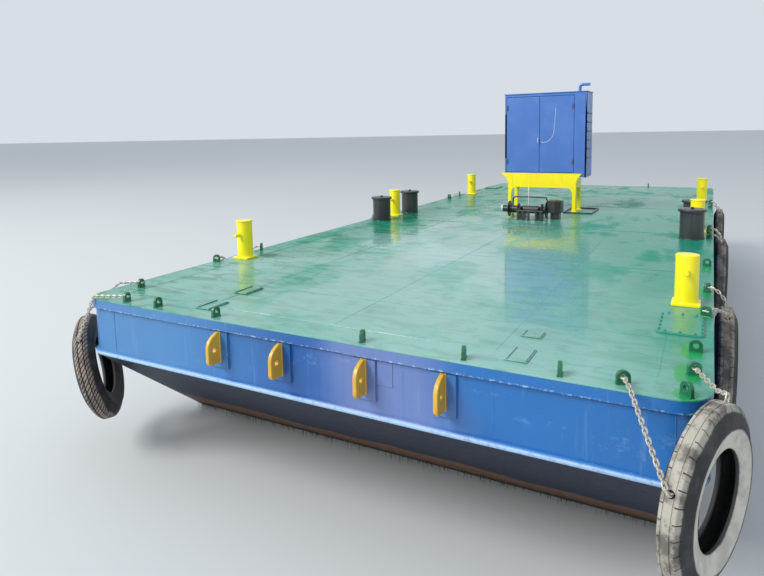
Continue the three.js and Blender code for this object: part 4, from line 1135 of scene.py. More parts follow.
@dataclass
class Headlog:
    """The heavy plate round each end, its sheer strip, knuckle bar, doublers, seams and towing eyes."""

    end: End
    form: Form = FORM
    run_back: float = 0.65
    dent: float = 0.007
    frame_pitch: float = 0.61
    doubler_width: float = 0.170
    doubler_thick: float = 0.016
    doubler_low: float = 0.375
    doubler_step: float = 0.004
    eye_x: tuple[float, ...] = (-0.866, -0.279, 0.410, 0.976)
    eye_below: float = 0.212
    eye_thick: float = 0.030
    eye_height: float = 0.238
    eye_reach: float = 0.125
    eye_nose: float = 0.040
    eye_slope: float = 0.010
    eye_hole: float = 0.021
    eye_hole_out: float = 0.062
    eye_hole_down: float = 0.005
    seam_x: tuple[float, ...] = (-2.066, 0.038, 0.687, 1.29, 2.269)
    seam_width: float = 0.006
    patch_x: tuple[float, float] = (0.504, 0.618)
    patch_below: tuple[float, float] = (0.086, 0.262)
    patch_thick: float = 0.004

    def path(self) -> tuple[Array, Array]:
        """The shell's line in plan round this end, and the outward direction at each point."""
        beam = self.form.half_beam - self.form.shell_inset
        length = self.form.shell_end
        radius = self.form.corner - self.form.shell_inset
        side = np.linspace(length - self.run_back, length - radius, 10)[:-1]
        turn = np.radians(np.linspace(0, 90, 19))
        corner = arc((beam - radius, length - radius), radius, 0, 90, 18)
        flat = np.linspace(beam - radius, -(beam - radius), 90)[1:-1]
        right = np.concatenate([np.column_stack([np.full(len(side), beam), side]), corner])
        facing = np.concatenate([np.tile((1.0, 0.0), (len(side), 1)),
                                 np.column_stack([np.cos(turn), np.sin(turn)])])
        across = np.column_stack([flat, np.full(len(flat), length)])
        points = np.concatenate([right, across, right[::-1] * (-1, 1)])
        outward = np.concatenate([facing, np.tile((0.0, 1.0), (len(flat), 1)), facing[::-1] * (-1, 1)])
        return points * self.end.value, outward * self.end.value

    def patch(self) -> Patch:
        """The headlog's section carried round its path.

        The plate is pushed in between the frames, the strip's edge wanders, and the bar is half round.
        """
        points, outward = self.path()
        run = np.concatenate([[0], np.cumsum(np.linalg.norm(np.diff(points, axis=0), axis=1))])
        plate = self.form.headlog_plate + GAP
        bar = arc((plate, self.form.knuckle + self.form.strip), self.form.strip, -90, 90, 10)
        low_strip = self.form.deck - self.form.strip_height
        heights = np.linspace(self.form.knuckle + 2 * self.form.strip + 0.006, low_strip - 0.006, 9)
        proud, top, ease = plate + self.form.strip, self.form.shell_top, 0.003
        strip = [(plate, low_strip), (proud - ease, low_strip), (proud, low_strip + ease),
                 (proud, top - ease), (proud - ease, top), (GAP, top)]
        section = np.concatenate([[(GAP, self.form.knuckle)], bar,
                                  np.column_stack([np.full(9, plate), heights]),
                                  strip, [(GAP, self.form.knuckle)]])
        out = np.tile(section[:, 0], (len(run), 1))
        z = np.tile(section[:, 1], (len(run), 1))
        bar_rows, plate_rows = slice(1, 12), slice(12, 21)
        strip_low, strip_face = slice(21, 24), slice(22, 26)
        share = (heights - heights[0]) / (heights[-1] - heights[0])
        between = np.sin(np.pi * run[:, None] / self.frame_pitch) ** 2
        along, up = run[:, None], share * 2 + 0 * run[:, None]
        uneven = 0.5 + 0.5 * rippled(along, up, 31 + self.end.value, 6, 2.5, 0.35)
        out[:, plate_rows] -= self.dent * between * uneven * np.sin(np.pi * (0.1 + 0.8 * share))
        wander = rippled(run, 0 * run, 12 + self.end.value, 6, 1.7, 0.15)[:, None]
        z[:, strip_low] += 0.0022 * wander
        out[:, strip_face] -= 0.0012 * (1 + wander)
        z[:, bar_rows] += 0.0010 * rippled(run, 0 * run, 18, 6, 1.1, 0.1)[:, None]
        flat = points[:, None] + outward[:, None] * out[..., None]
        body = grid(np.concatenate([flat, z[..., None]], axis=-1))
        count = section.shape[0]
        last = (len(run) - 1) * count
        body.polys = [list(range(count - 1)), [last + i for i in range(count - 1)][::-1]]
        return body

    def doubler_box(self, x: float) -> tuple[float, float, float, float]:
        """The left, right, low and high edges of the doubler under an eye."""
        half = self.doubler_width / 2
        high = self.form.deck - self.form.strip_height - self.doubler_step
        return x - half, x + half, self.form.deck - self.doubler_low, high

    def doublers(self) -> Patch:
        """A plate under each towing eye, and the small thin plate beside the third."""
        parts = []
        face = self.form.plate_face
        for x in self.eye_x:
            left, right, low, high = self.doubler_box(x)
            y0, y1 = sorted((self.end.value * (face - 0.004), self.end.value * (face + self.doubler_thick)))
            parts.append(block((left, y0, low), (right, y1, high)))
        y0, y1 = sorted((self.end.value * (face - 0.006), self.end.value * (face + self.patch_thick)))
        high, low = (self.form.deck - below for below in self.patch_below)
        parts.append(block((self.patch_x[0], y0, low), (self.patch_x[1], y1, high)))
        return joined(*parts)

    def welds(self) -> Patch:
        """The beads round the doublers and at the plate's own upright seams."""
        face = self.end.value * (self.form.plate_face + 0.001)
        parts = []
        for i, x in enumerate(self.eye_x):
            left, right, low, high = self.doubler_box(x)
            parts.append(bead([(left, face, high), (left, face, low), (right, face, low),
                               (right, face, high)],
                              0.009, 80 + i))
        sunk = face - 0.003 * self.end.value
        low, high = self.form.knuckle + 2 * self.form.strip, self.form.deck - self.form.strip_height
        parts += [bead([(x, sunk, low), (x, sunk, high)], self.seam_width, 90 + i)
                  for i, x in enumerate(self.seam_x)]
        return joined(*parts)

    def eye(self, x: float) -> Patch:
        """One towing eye: a plate with an upright nose, a curved slope back to the root, and a hole."""
        half, nose, reach = self.eye_height / 2, self.eye_nose, self.eye_reach
        outline = np.concatenate([
            [(0, -half)],
            arc((reach - nose, nose - half), nose, -90, 0, 8),
            bent((reach, self.eye_slope), (reach, half * 0.75), (reach * 0.2, half), 12),
            [(0, half)],
        ])
        root = self.form.plate_face + self.doubler_thick + GAP
        place = np.array([root, self.form.deck - self.eye_below])
        flip = np.array([self.end.value, 1])
        centre = (place + (self.eye_hole_out, -self.eye_hole_down)) * flip
        return bored((outline + place) * flip, tuple(centre), self.eye_hole, x - self.eye_thick / 2,
                     x + self.eye_thick / 2, "yz", lip=0.004)

    def eye_welds(self, x: float) -> Patch:
        """A heavy bead down each side of an eye's root, run on a little under it."""
        root = self.end.value * (self.form.plate_face + self.doubler_thick + 0.002)
        level, half = self.form.deck - self.eye_below, self.eye_height / 2
        beads = [bead([(x + side * self.eye_thick / 2, root, level - half - 0.004),
                       (x + side * self.eye_thick / 2, root, level + half)], 0.014, 70 + side)
                 for side in (-1, 1)]
        return joined(*beads)

    def make(self) -> None:
        """Makes the headlog and its four eyes."""
        name = self.end.name.lower()
        make_piece(f"headlog_{name}_plate", self.patch(), HullPaint(), Slot.HULL,
                   stands_for=(f"headlog_{name}",))
        make_piece(f"headlog_{name}_doublers", self.doublers(), HullPaint(), Slot.HULL, bevel=0.003)
        make_piece(f"headlog_{name}_welds", self.welds(), HullPaint(), Slot.HULL)
        for i, x in enumerate(self.eye_x):
            make_piece(f"towing_eye_{name}_{i + 1}", joined(self.eye(x), self.eye_welds(x)), EYE_YELLOW_RUST_AND_SHADE,
                       Slot.YELLOW, stands_for=(f"tow_eye_{name}_{i + 1}",))


@dataclass
class RubStrake:
    """The strip along one side under the deck edge."""

    side: int
    form: Form = FORM
    run_back: float = 0.65

    def make(self) -> None:
        """Makes the strip, its face eased and a little wavy."""
        name = side_name(self.side)
        length = self.form.half_length - self.form.shell_inset - self.run_back - GAP
        inner = self.form.half_beam - self.form.shell_inset + GAP
        low, top, ease = self.form.deck - self.form.strip_height, self.form.shell_top, 0.003
        y = np.linspace(-length, length, 140)
        wave = 0.0012 * (1 + rippled(y, 0 * y, 44 + self.side, 6, 2.0, 0.2))
        outer = self.form.half_beam
        section = [(inner, low), (outer - ease, low), (outer, low + ease), (outer, top - ease),
                   (outer - ease, top), (inner, top), (inner, low)]
        x = np.array([[px for px, _ in section]] * len(y))
        x[:, 1:5] -= wave[:, None]
        z = np.array([[pz for _, pz in section]] * len(y))
        body = grid(np.stack([self.side * x, np.broadcast_to(y[:, None], x.shape), z], axis=-1))
        count = len(section)
        last = (len(y) - 1) * count
        body.polys = [list(range(count - 1)), [last + i for i in range(count - 1)]]
        make_piece(f"side_strake_{name}", body, HullPaint(), Slot.HULL, stands_for=(f"rub_strake_{name}",))


@dataclass
class Bollard:
    """A mooring post: pipe on a base plate, with a cap and a horn that points aft."""

    place: str
    side: int
    radius: float = 0.086
    height: float = 0.430
    cap: float = 0.094
    cap_thick: float = 0.014
    base: float = 0.206
    base_thick: float = 0.016
    horn: float = 0.020
    horn_reach: float = 0.165
    horn_height: float = 0.270
    ease: float = 0.004

    def __post_init__(self) -> None:
        """The aft post to starboard is cut shorter, and its lid is flush with the pipe."""
        if self.place == "aft" and self.side > 0:
            self.height = 0.395
            self.cap = self.radius

    def make(self) -> None:
        """Makes the post on the frame's own node, in the middle of its box across the barge."""
        name = side_name(self.side)
        node = f"bollard_{self.place}_{name}"
        low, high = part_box(node)
        x, y = (low.x + high.x) / 2, high.y - self.base / 2
        radius, cap, top, ease = self.radius, self.cap, self.height, self.ease
        under = top - self.cap_thick
        profile = [(0, 0.004), (radius, 0.004), (radius, under - 0.003), (radius - 0.002, under - 0.0015),
                   (radius - 0.002, under), (cap - 0.002, under + 0.0005), (cap, under + 0.003),
                   (cap, top - ease),
                   (cap - 0.0015, top - 0.0012), (cap - ease, top), (cap * 0.5, top - 0.0005),
                   (0, top - 0.0005)]
        post = turned(profile, 64)
        foot = ring(radius + 0.002, 0.007, 64).shifted(0, 0, self.base_thick + 0.001)
        plate = prism(rounded(self.base, self.base, 0.008, 3), 0, self.base_thick)
        along = np.array([0, 0.4, 0.9, 0.97, 1.0])
        line = np.column_stack([0 * along, -self.horn_reach * along, self.horn_height + 0 * along])
        arm = tube(line, np.array([1, 1, 1, 0.93, 0.75]) * self.horn, 20)
        patch = joined(post, foot, plate, arm).shifted(x, y, low.z)
        make_piece(f"mooring_post_{self.place}_{name}", patch, YELLOW, Slot.YELLOW, stands_for=(node,),
                   bevel=0.002)


@dataclass
class Bitt:
    """A stout black bitt with a thick overhanging rim and a knob."""

    place: str
    side: int
    radius: float = 0.138
    height: float = 0.370
    rim: float = 0.162
    rim_thick: float = 0.033
    rim_edge: float = 0.006
    knob: float = 0.020
    knob_height: float = 0.024

    def make(self) -> None:
        """Makes the bitt on the frame's own node."""
        name = side_name(self.side)
        node = f"bitt_{self.place}_{name}"
        top, edge, rim = self.height, self.rim_edge, self.rim
        under = top - self.rim_thick
        profile = [(0, 0), (self.radius, 0), (self.radius, under), (rim - edge, under),
                   (rim - edge * 0.3, under + edge * 0.3),
                   (rim, under + edge), (rim, top - edge), (rim - edge * 0.3, top - edge * 0.3),
                   (rim - edge, top), (self.knob, top), (self.knob, top + self.knob_height * 0.7),
                   (self.knob * 0.75, top + self.knob_height * 0.95), (0, top + self.knob_height)]
        foot = ring(self.radius + 0.002, 0.008, 72).shifted(0, 0, 0.003)
        patch = joined(turned(profile, 72), foot).shifted(*foot_of(node))
        make_piece(f"deck_bitt_{self.place}_{name}", patch, BLACK, Slot.BLACK, stands_for=(node,))


@dataclass
class DeckSocket:
    """A flat plate with two bars, where a fitting slides in."""

    node: str
    plate: float = 0.006
    bar: float = 0.012
    bar_height: float = 0.014
    margin: float = 0.008

    def make(self) -> None:
        """Makes the socket on the frame's own node."""
        low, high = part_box(self.node)
        width, length = high.x - low.x, high.y - low.y
        parts = [prism(rounded(width, length, 0.006, 3), 0, self.plate)]
        for side in (-1, 1):
            middle = side * (width / 2 - self.bar / 2 - self.margin)
            parts.append(block((middle - self.bar / 2, -length / 2 + self.margin, 0.001),
                               (middle + self.bar / 2, length / 2 - self.margin, self.bar_height)))
        patch = joined(*parts).shifted(*foot_of(self.node))
        make_piece(f"{self.node}_plates", patch, DeckPaint(), Slot.DECK, stands_for=(self.node,),
                   bevel=0.002)


@dataclass
class Manhole:
    """A bolted manhole cover: a frame plate, the lid on it, and studs with nuts round its edge."""

    node: str
    corner: float = 0.040
    frame: float = 0.006
    step: float = 0.008
    lid: float = 0.012
    stud: float = 0.006
    stud_high: float = 0.026
    stud_in: float = 0.018
    nut: float = 0.009
    nut_high: float = 0.008
    column: int = 5
    row: int = 3
    pitch: float = 0.092

    def stud_places(self, width: float, length: float) -> list[tuple[float, float]]:
        """Where the studs stand: a column down each long side and a row along each short one."""
        spots = []
        for side in (-1, 1):
            spots += [(side * (width / 2 - self.stud_in), (i - (self.column - 1) / 2) * self.pitch)
                      for i in range(self.column)]
            spots += [((i - (self.row - 1) / 2) * self.pitch, side * (length / 2 - self.stud_in))
                      for i in range(self.row)]
        return spots

    def make(self) -> None:
        """Makes the cover on the frame's own node."""
        low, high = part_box(self.node)
        width, length = high.x - low.x, high.y - low.y
        cover = self.corner - self.step
        parts = [prism(rounded(width, length, self.corner, 8), 0, self.frame),
                 prism(rounded(width - 2 * self.step, length - 2 * self.step, cover, 8), self.frame - 0.001,
                       self.lid)]
        for x, y in self.stud_places(width, length):
            parts.append(rod((x, y, 0.002), (x, y, self.stud_high), self.stud, 8))
            parts.append(prism(arc((x, y), self.nut, 0, 300, 5), self.lid - 0.001, self.lid + self.nut_high))
        patch = joined(*parts).shifted(*foot_of(self.node))
        make_piece(f"{self.node}_lid", patch, DeckPaint(), Slot.DECK, stands_for=(self.node,), bevel=0.0015)


@dataclass(frozen=True)
class TreadCut:
    """How a tread's cuts repeat round the tyre; the shares say where in a pitch the cut starts and ends."""

    pitches: int
    depth: float
    start: float = 0.02
    end: float = 0.10
    slope: float = 0.02
    lean: float = 0.0
    full_width: bool = False


TREAD_CUTS = {
    Tread.SLOTTED: TreadCut(38, 0.008),
    Tread.DIAGONAL: TreadCut(72, 0.011, end=0.30, slope=0.06, lean=-2.6, full_width=True),
    Tread.RIBBED: TreadCut(40, 0.006),
}


@dataclass(frozen=True)
class TyreShape:
    """A tyre's section: distances from the axle, each with half the tyre's width there."""

    radius: float
    crown: float
    shoulder: tuple[float, float]
    widest: tuple[float, float]
    bead: tuple[float, float]
    wall: float = 0.020
    toe: float = 0.018
    crown_drop: float = 0.002
    groove_depth: float = 0.004

    def side_wall(self) -> Array:
        """A smooth line from the bead's toe over the widest place and the shoulder to the tread's edge."""
        (bead_r, bead_x), (widest_r, widest_x) = self.bead, self.widest
        shoulder_r, shoulder_x = self.shoulder
        return through([
            (bead_r, bead_x - self.toe), (bead_r + 0.001, bead_x - 0.004), (bead_r + 0.010, bead_x + 0.001),
            ((bead_r + widest_r) / 2, (bead_x + widest_x) / 2 + 0.0015), (widest_r, widest_x - 0.0005),
            ((widest_r + shoulder_r) / 2, (widest_x + shoulder_x) / 2 + 0.0005), (shoulder_r, shoulder_x),
            ((shoulder_r + self.radius) / 2, (shoulder_x + self.crown) / 2 + 0.0005),
            (self.radius - 0.006, self.crown + 0.003), (self.radius - self.crown_drop, self.crown - 0.003),
        ], 3)

    def liner(self) -> Array:
        """The inner surface from the middle of the tread to the bead's toe, one wall in from the outside."""
        (bead_r, bead_x), (widest_r, widest_x) = self.bead, self.widest
        shoulder_r, shoulder_x = self.shoulder
        wall = self.wall
        return through([
            (self.radius - wall, 0.0), (self.radius - wall - 0.001, self.crown - 0.010),
            (shoulder_r - 0.012, shoulder_x - 0.018), (widest_r, widest_x - wall),
            (bead_r + 0.024, bead_x - wall), (bead_r + 0.006, bead_x - wall - 0.002),
            (bead_r, bead_x - self.toe),
        ], 3)

    def section(self, full_width: bool) -> tuple[Array, Array]:
        """The whole section as one loop of (radius, across), and 1 where the tread is cut, else 0.

        The tread is radius - drop (across / crown)^2, with a shallow groove either side of the middle.
        """
        shares = np.array([0.81, 0.68, 0.65, 0.47, 0.44, 0.25, 0.0])
        in_groove = (shares <= 0.65) & (shares >= 0.47)
        tread_r = self.radius - self.crown_drop * shares**2 - self.groove_depth * in_groove
        half = np.concatenate([self.side_wall(), np.column_stack([tread_r, shares * self.crown])])
        mirrored = half[::-1][1:] * (1, -1)
        liner = self.liner()
        loop = np.concatenate([half, mirrored, liner[::-1][1:] * (1, -1), liner[1:]])
        cut_from = self.shoulder[0] + 0.25 * (self.radius - self.shoulder[0])
        outside = np.arange(len(loop)) < len(half) + len(mirrored)
        cut = outside & (loop[:, 0] > cut_from)
        if not full_width:
            cut &= np.abs(loop[:, 1]) > 0.66 * self.crown
        return loop, cut.astype(float)


NARROW_TYRE = TyreShape(0.463, 0.037, (0.413, 0.058), (0.359, 0.080), (0.252, 0.058))
WIDE_TYRE = TyreShape(0.494, 0.040, (0.465, 0.064), (0.397, 0.097), (0.273, 0.058))


# Fenders


@dataclass
class Fender:
    """A tyre on a chain: its own frame has the axle along X, the outer face towards +X."""

    name: str
    x: float
    y: float
    face: float
    lean: float
    low: float
    eyes: tuple[PadEye, PadEye]
    holes: tuple[float, float]
    shape: TyreShape
    tread: Tread
    finish: TyreRubber
    form: Form = FORM
    hole: float = 0.019
    drill_in: float = 0.07
    drill_out: float = 0.04
    chain_out: float = 0.036

    def matrix(self) -> Matrix:
        """The tyre's frame: turned to its face in plan, leaned outboard, at its centre."""
        face, lean = math.radians(self.face), math.radians(self.lean)
        turn = Matrix.Rotation(face, 4, "Z") @ Matrix.Rotation(lean, 4, "Y")
        return Matrix.Translation((self.x, self.y, self.form.deck - self.low)) @ turn

    def point(self, degrees: float, beyond: float) -> Vector:
        """A point at an angle from the tyre's own +Y and so far beyond its tread."""
        angle, reach = math.radians(degrees), self.shape.radius + beyond
        return self.matrix() @ Vector((0, reach * math.cos(angle), reach * math.sin(angle)))

    def aim_eyes(self) -> None:
        """Turns each pad-eye square to its chain."""
        for eye, hole in zip(self.eyes, self.holes):
            target = self.point(hole, self.chain_out)
            eye.turn = math.degrees(math.atan2(target.y - eye.y, target.x - eye.x)) + 90

    def patch(self) -> Patch:
        """The section turned about the axle.

        A point of the section at (radius, across) goes to radius less the cut's depth, at an angle that
        grows with the turn and, on a leaning tread, with the distance across.
        """
        cuts = TREAD_CUTS[self.tread]
        loop, cut = self.shape.section(cuts.full_width)
        shares = np.array([0.0, cuts.start, cuts.start + cuts.slope, cuts.end, cuts.end + cuts.slope, 0.75])
        depth = np.array([0.0, 0.0, 1.0, 1.0, 0.0, 0.0]) * cuts.depth
        turns = np.append((np.arange(cuts.pitches)[:, None] + shares).ravel() / cuts.pitches, 1.0)
        depths = np.append(np.tile(depth, cuts.pitches), 0.0)
        radius = loop[:, 0] - depths[:, None] * cut
        angle = FULL_TURN * turns[:, None] + cuts.lean * loop[:, 1]
        across = np.broadcast_to(loop[:, 1], radius.shape)
        points = np.stack([across, radius * np.cos(angle), radius * np.sin(angle)], axis=-1)
        sunk = depths[:, None] * cut / cuts.depth
        form = np.stack([np.broadcast_to(loop[:, 0], radius.shape), across], axis=-1)
        chart = np.stack([sunk, np.broadcast_to(turns[:, None], radius.shape)], axis=-1)
        return grid(points, chart, form).moved(self.matrix())

    def make(self) -> None:
        """Makes the tyre, drills it for the chain, and hangs the chain."""
        tyre = make_piece(f"fender_{self.name}", self.patch(), self.finish, Slot.RUBBER,
                          stands_for=(f"tyre_{self.name}",), sharp=40)
        drills = joined(*[rod(tuple(self.point(hole, -self.drill_in)),
                              tuple(self.point(hole, self.drill_out)), self.hole, 16)
                          for hole in self.holes])
        drilled(tyre, drills)
        Chain(self).make()


def drilled(piece: bpy.types.Object, drills: Patch) -> None:
    """Cuts the drills out of a piece and keeps the cut mesh."""
    mesh = bpy.data.meshes.new("drills")
    mesh.from_pydata(drills.points.tolist(), [], drills.quads.tolist())
    close_up(mesh)
    cutter = put_in_scene("drills", mesh)
    cut = piece.modifiers.new("drilled", "BOOLEAN")
    cut.operation = "DIFFERENCE"
    cut.solver = "EXACT"
    cut.object = cutter
    graph = bpy.context.evaluated_depsgraph_get()
    result = bpy.data.meshes.new_from_object(piece.evaluated_get(graph), depsgraph=graph)
    piece.modifiers.clear()
    piece.data = result
    bpy.data.objects.remove(cutter)


@dataclass
class Chain:
    """The chain that holds a fender: welded links along the route from eye to eye, through the tread."""

    fender: Fender
    wire: float = 0.0048
    pitch: float = 0.040
    half_span: float = 0.0102
    bar: float = 0.013
    inside: float = 0.062
    crossing: float = 0.082
    bow: float = 0.014
    pin: float = 0.007

    def link(self) -> Patch:
        """One link: a round wire along two half circles joined by straight sides, along its own X."""
        straight = self.pitch / 2 - self.half_span
        right = arc((straight, 0), self.half_span, -90, 90, 5)
        left = arc((-straight, 0), self.half_span, 90, 270, 5)
        line = np.concatenate([right, left, right[:1]])
        away = np.concatenate([arc((0, 0), 1, -90, 90, 5), arc((0, 0), 1, 90, 270, 5),
                               arc((0, 0), 1, -90, -90, 0)])
        turn = np.linspace(0, FULL_TURN, 6)
        flat = line[:, None] + away[:, None] * self.wire * np.cos(turn)[None, :, None]
        z = np.broadcast_to(self.wire * np.sin(turn), flat.shape[:2])
        return grid(np.concatenate([flat, z[..., None]], axis=-1))

    def lead(self, eye: PadEye, hole: float) -> Array:
        """The direction in plan from an eye to where its chain meets the tread."""
        outside = self.fender.point(hole, self.fender.chain_out)
        heading = np.array([outside.x - eye.x, outside.y - eye.y])
        return heading / np.linalg.norm(heading)

    def run_to_edge(self, eye: PadEye, lead: Array) -> float:
        """How far a line in plan runs from the eye to the rounded deck edge."""
        form = self.fender.form
        runs = np.arange(0, 2, 0.004)
        spots = np.array([eye.x, eye.y]) + runs[:, None] * lead
        over = np.maximum(np.abs(spots) - (form.half_beam - form.corner, form.half_length - form.corner), 0)
        return float(runs[np.argmax(np.linalg.norm(over, axis=1) >= form.corner)])

    def half_route(self, eye: PadEye, hole: float) -> list[tuple[float, ...]]:
        """From one eye over the deck edge to the hole in the tread and through it."""
        lead = self.lead(eye, hole)
        run = self.run_to_edge(eye, lead) + self.bar * 2.4
        start = eye.thick
        return [
            (eye.x + lead[0] * start, eye.y + lead[1] * start, eye.hole_height),
            (eye.x + lead[0] * run, eye.y + lead[1] * run, self.fender.form.deck + self.bar * 2),
            tuple(self.fender.point(hole, self.fender.chain_out)),
            tuple(self.fender.point(hole, -self.inside)),
        ]

    def route(self) -> Array:
        """Both halves and the crossing inside the tyre, as one line."""
        first, second = self.fender.holes
        crossing = [tuple(self.fender.point(first + t * (second - first), -self.crossing))
                    for t in (0.2, 0.5, 0.8)]
        halves = [self.half_route(eye, hole) for eye, hole in zip(self.fender.eyes, self.fender.holes)]
        return np.array(halves[0] + crossing + halves[1][::-1])

    def links(self) -> Patch:
        """The links, one to each pitch of the route, every other one turned a quarter round."""
        knots = resampled(self.route(), self.pitch - 2 * self.wire)
        along = np.diff(knots, axis=0)
        along /= np.linalg.norm(along, axis=1, keepdims=True)
        middle = (knots[:-1] + knots[1:]) / 2
        up = np.where(np.abs(along[:, 2:]) < 0.9, [(0.0, 0.0, 1.0)], [(1.0, 0.0, 0.0)])
        side = np.cross(up, along)
        side /= np.linalg.norm(side, axis=1, keepdims=True)
        above = np.cross(along, side)
        angle = (np.pi / 4 + np.pi / 2 * (np.arange(len(middle)) % 2))[:, None]
        first = np.cos(angle) * side + np.sin(angle) * above
        second = np.cross(along, first)
        turns = np.stack([along, first, second], axis=-1)
        return repeated(self.link(), turns, middle)

    def shackle(self, eye: PadEye, hole: float) -> Patch:
        """A bow on the chain's side of the eye, a half circle with two arms, and the pin through the eye."""
        lead = self.lead(eye, hole)
        across = np.array([-lead[1], lead[0]])
        turn = np.linspace(-90, 90, 11)
        out = np.concatenate([[-0.012], 0.018 + self.bow * np.cos(np.radians(turn)), [-0.012]])
        off = np.concatenate([[-1], np.sin(np.radians(turn)), [1]]) * self.bow
        level = np.full(len(out), eye.hole_height)
        origin = np.array([eye.x, eye.y])
        line = np.column_stack([origin + out[:, None] * lead + off[:, None] * across, level])
        ends = [tuple(origin - lead * 0.010 + across * end * 0.024) + (eye.hole_height,) for end in (-1, 1)]
        return joined(tube(line, 0.006, 8), rod(ends[0], ends[1], self.pin, 8))

    def make(self) -> None:
        """Makes the links and the shackles as one piece."""
        fender = self.fender
        shackles = [self.shackle(eye, hole) for eye, hole in zip(fender.eyes, fender.holes)]
        make_piece(f"links_{fender.name}", joined(self.links(), *shackles), Galvanised(), Slot.CHAIN,
                   stands_for=(f"chain_{fender.name}",), sharp=60)


def make_fenders() -> list[Fender]:
    """The two fenders at the aft corners and the three on each side, with their pad-eyes aimed."""
    at = FORM.at
    fenders = [
        Fender("corner_starboard", 2.424, at(-0.131), -20.7, 1, 0.405, (PadEye(2.002, at(0.088), 0),
               PadEye(2.340, at(0.390), 0)), (156, 68), NARROW_TYRE, Tread.SLOTTED, WORN_TYRE),
        Fender("corner_port", -2.646, at(0.269), 221.9, 12, 0.756, (PadEye(-1.945, at(0.070), 0),
               PadEye(-2.237, at(0.464), 0)), (47, 110), WIDE_TYRE, Tread.DIAGONAL, BROWN_TYRE),
    ]
    standoff = FORM.half_beam + NARROW_TYRE.widest[1] + 0.012
    eye_x = FORM.half_beam - 0.050
    for place, station, fore, aft in (("aft", 2.105, 2.372, 1.610), ("mid", 5.500, 5.790, 5.210),
                                      ("fore", 8.700, 8.990, 8.410)):
        for name, side in (("starboard", 1), ("port", -1)):
            eyes = tuple(PadEye(side * eye_x, at(s), 0) for s in ((fore, aft) if side == 1 else (aft, fore)))
            fenders.append(Fender(f"{place}_{name}", side * standoff, at(station), 0 if side == 1 else 180,
                                  0, 0.515, eyes, (68, 112), NARROW_TYRE, Tread.RIBBED, SIDE_TYRE))
    for fender in fenders:
        fender.aim_eyes()
    return fenders


def extra_eyes() -> list[PadEye]:
    """The pad-eyes that hold no fender."""
    end = 2 * FORM.half_length - 0.072
    places = [(-1.573, 0.072, 90), (-0.940, 0.072, 90), (0.369, 0.072, 104), (1.089, 0.072, 104),
              (1.668, 0.072, 98),
              (2.314, 0.072, -45), (2.340, 0.787, 0), (2.380, 3.449, 0), (-1.100, end, 90), (1.100, end, 90)]
    return [PadEye(x, FORM.at(station), turn) for x, station, turn in places]


# Cabinet and its stand


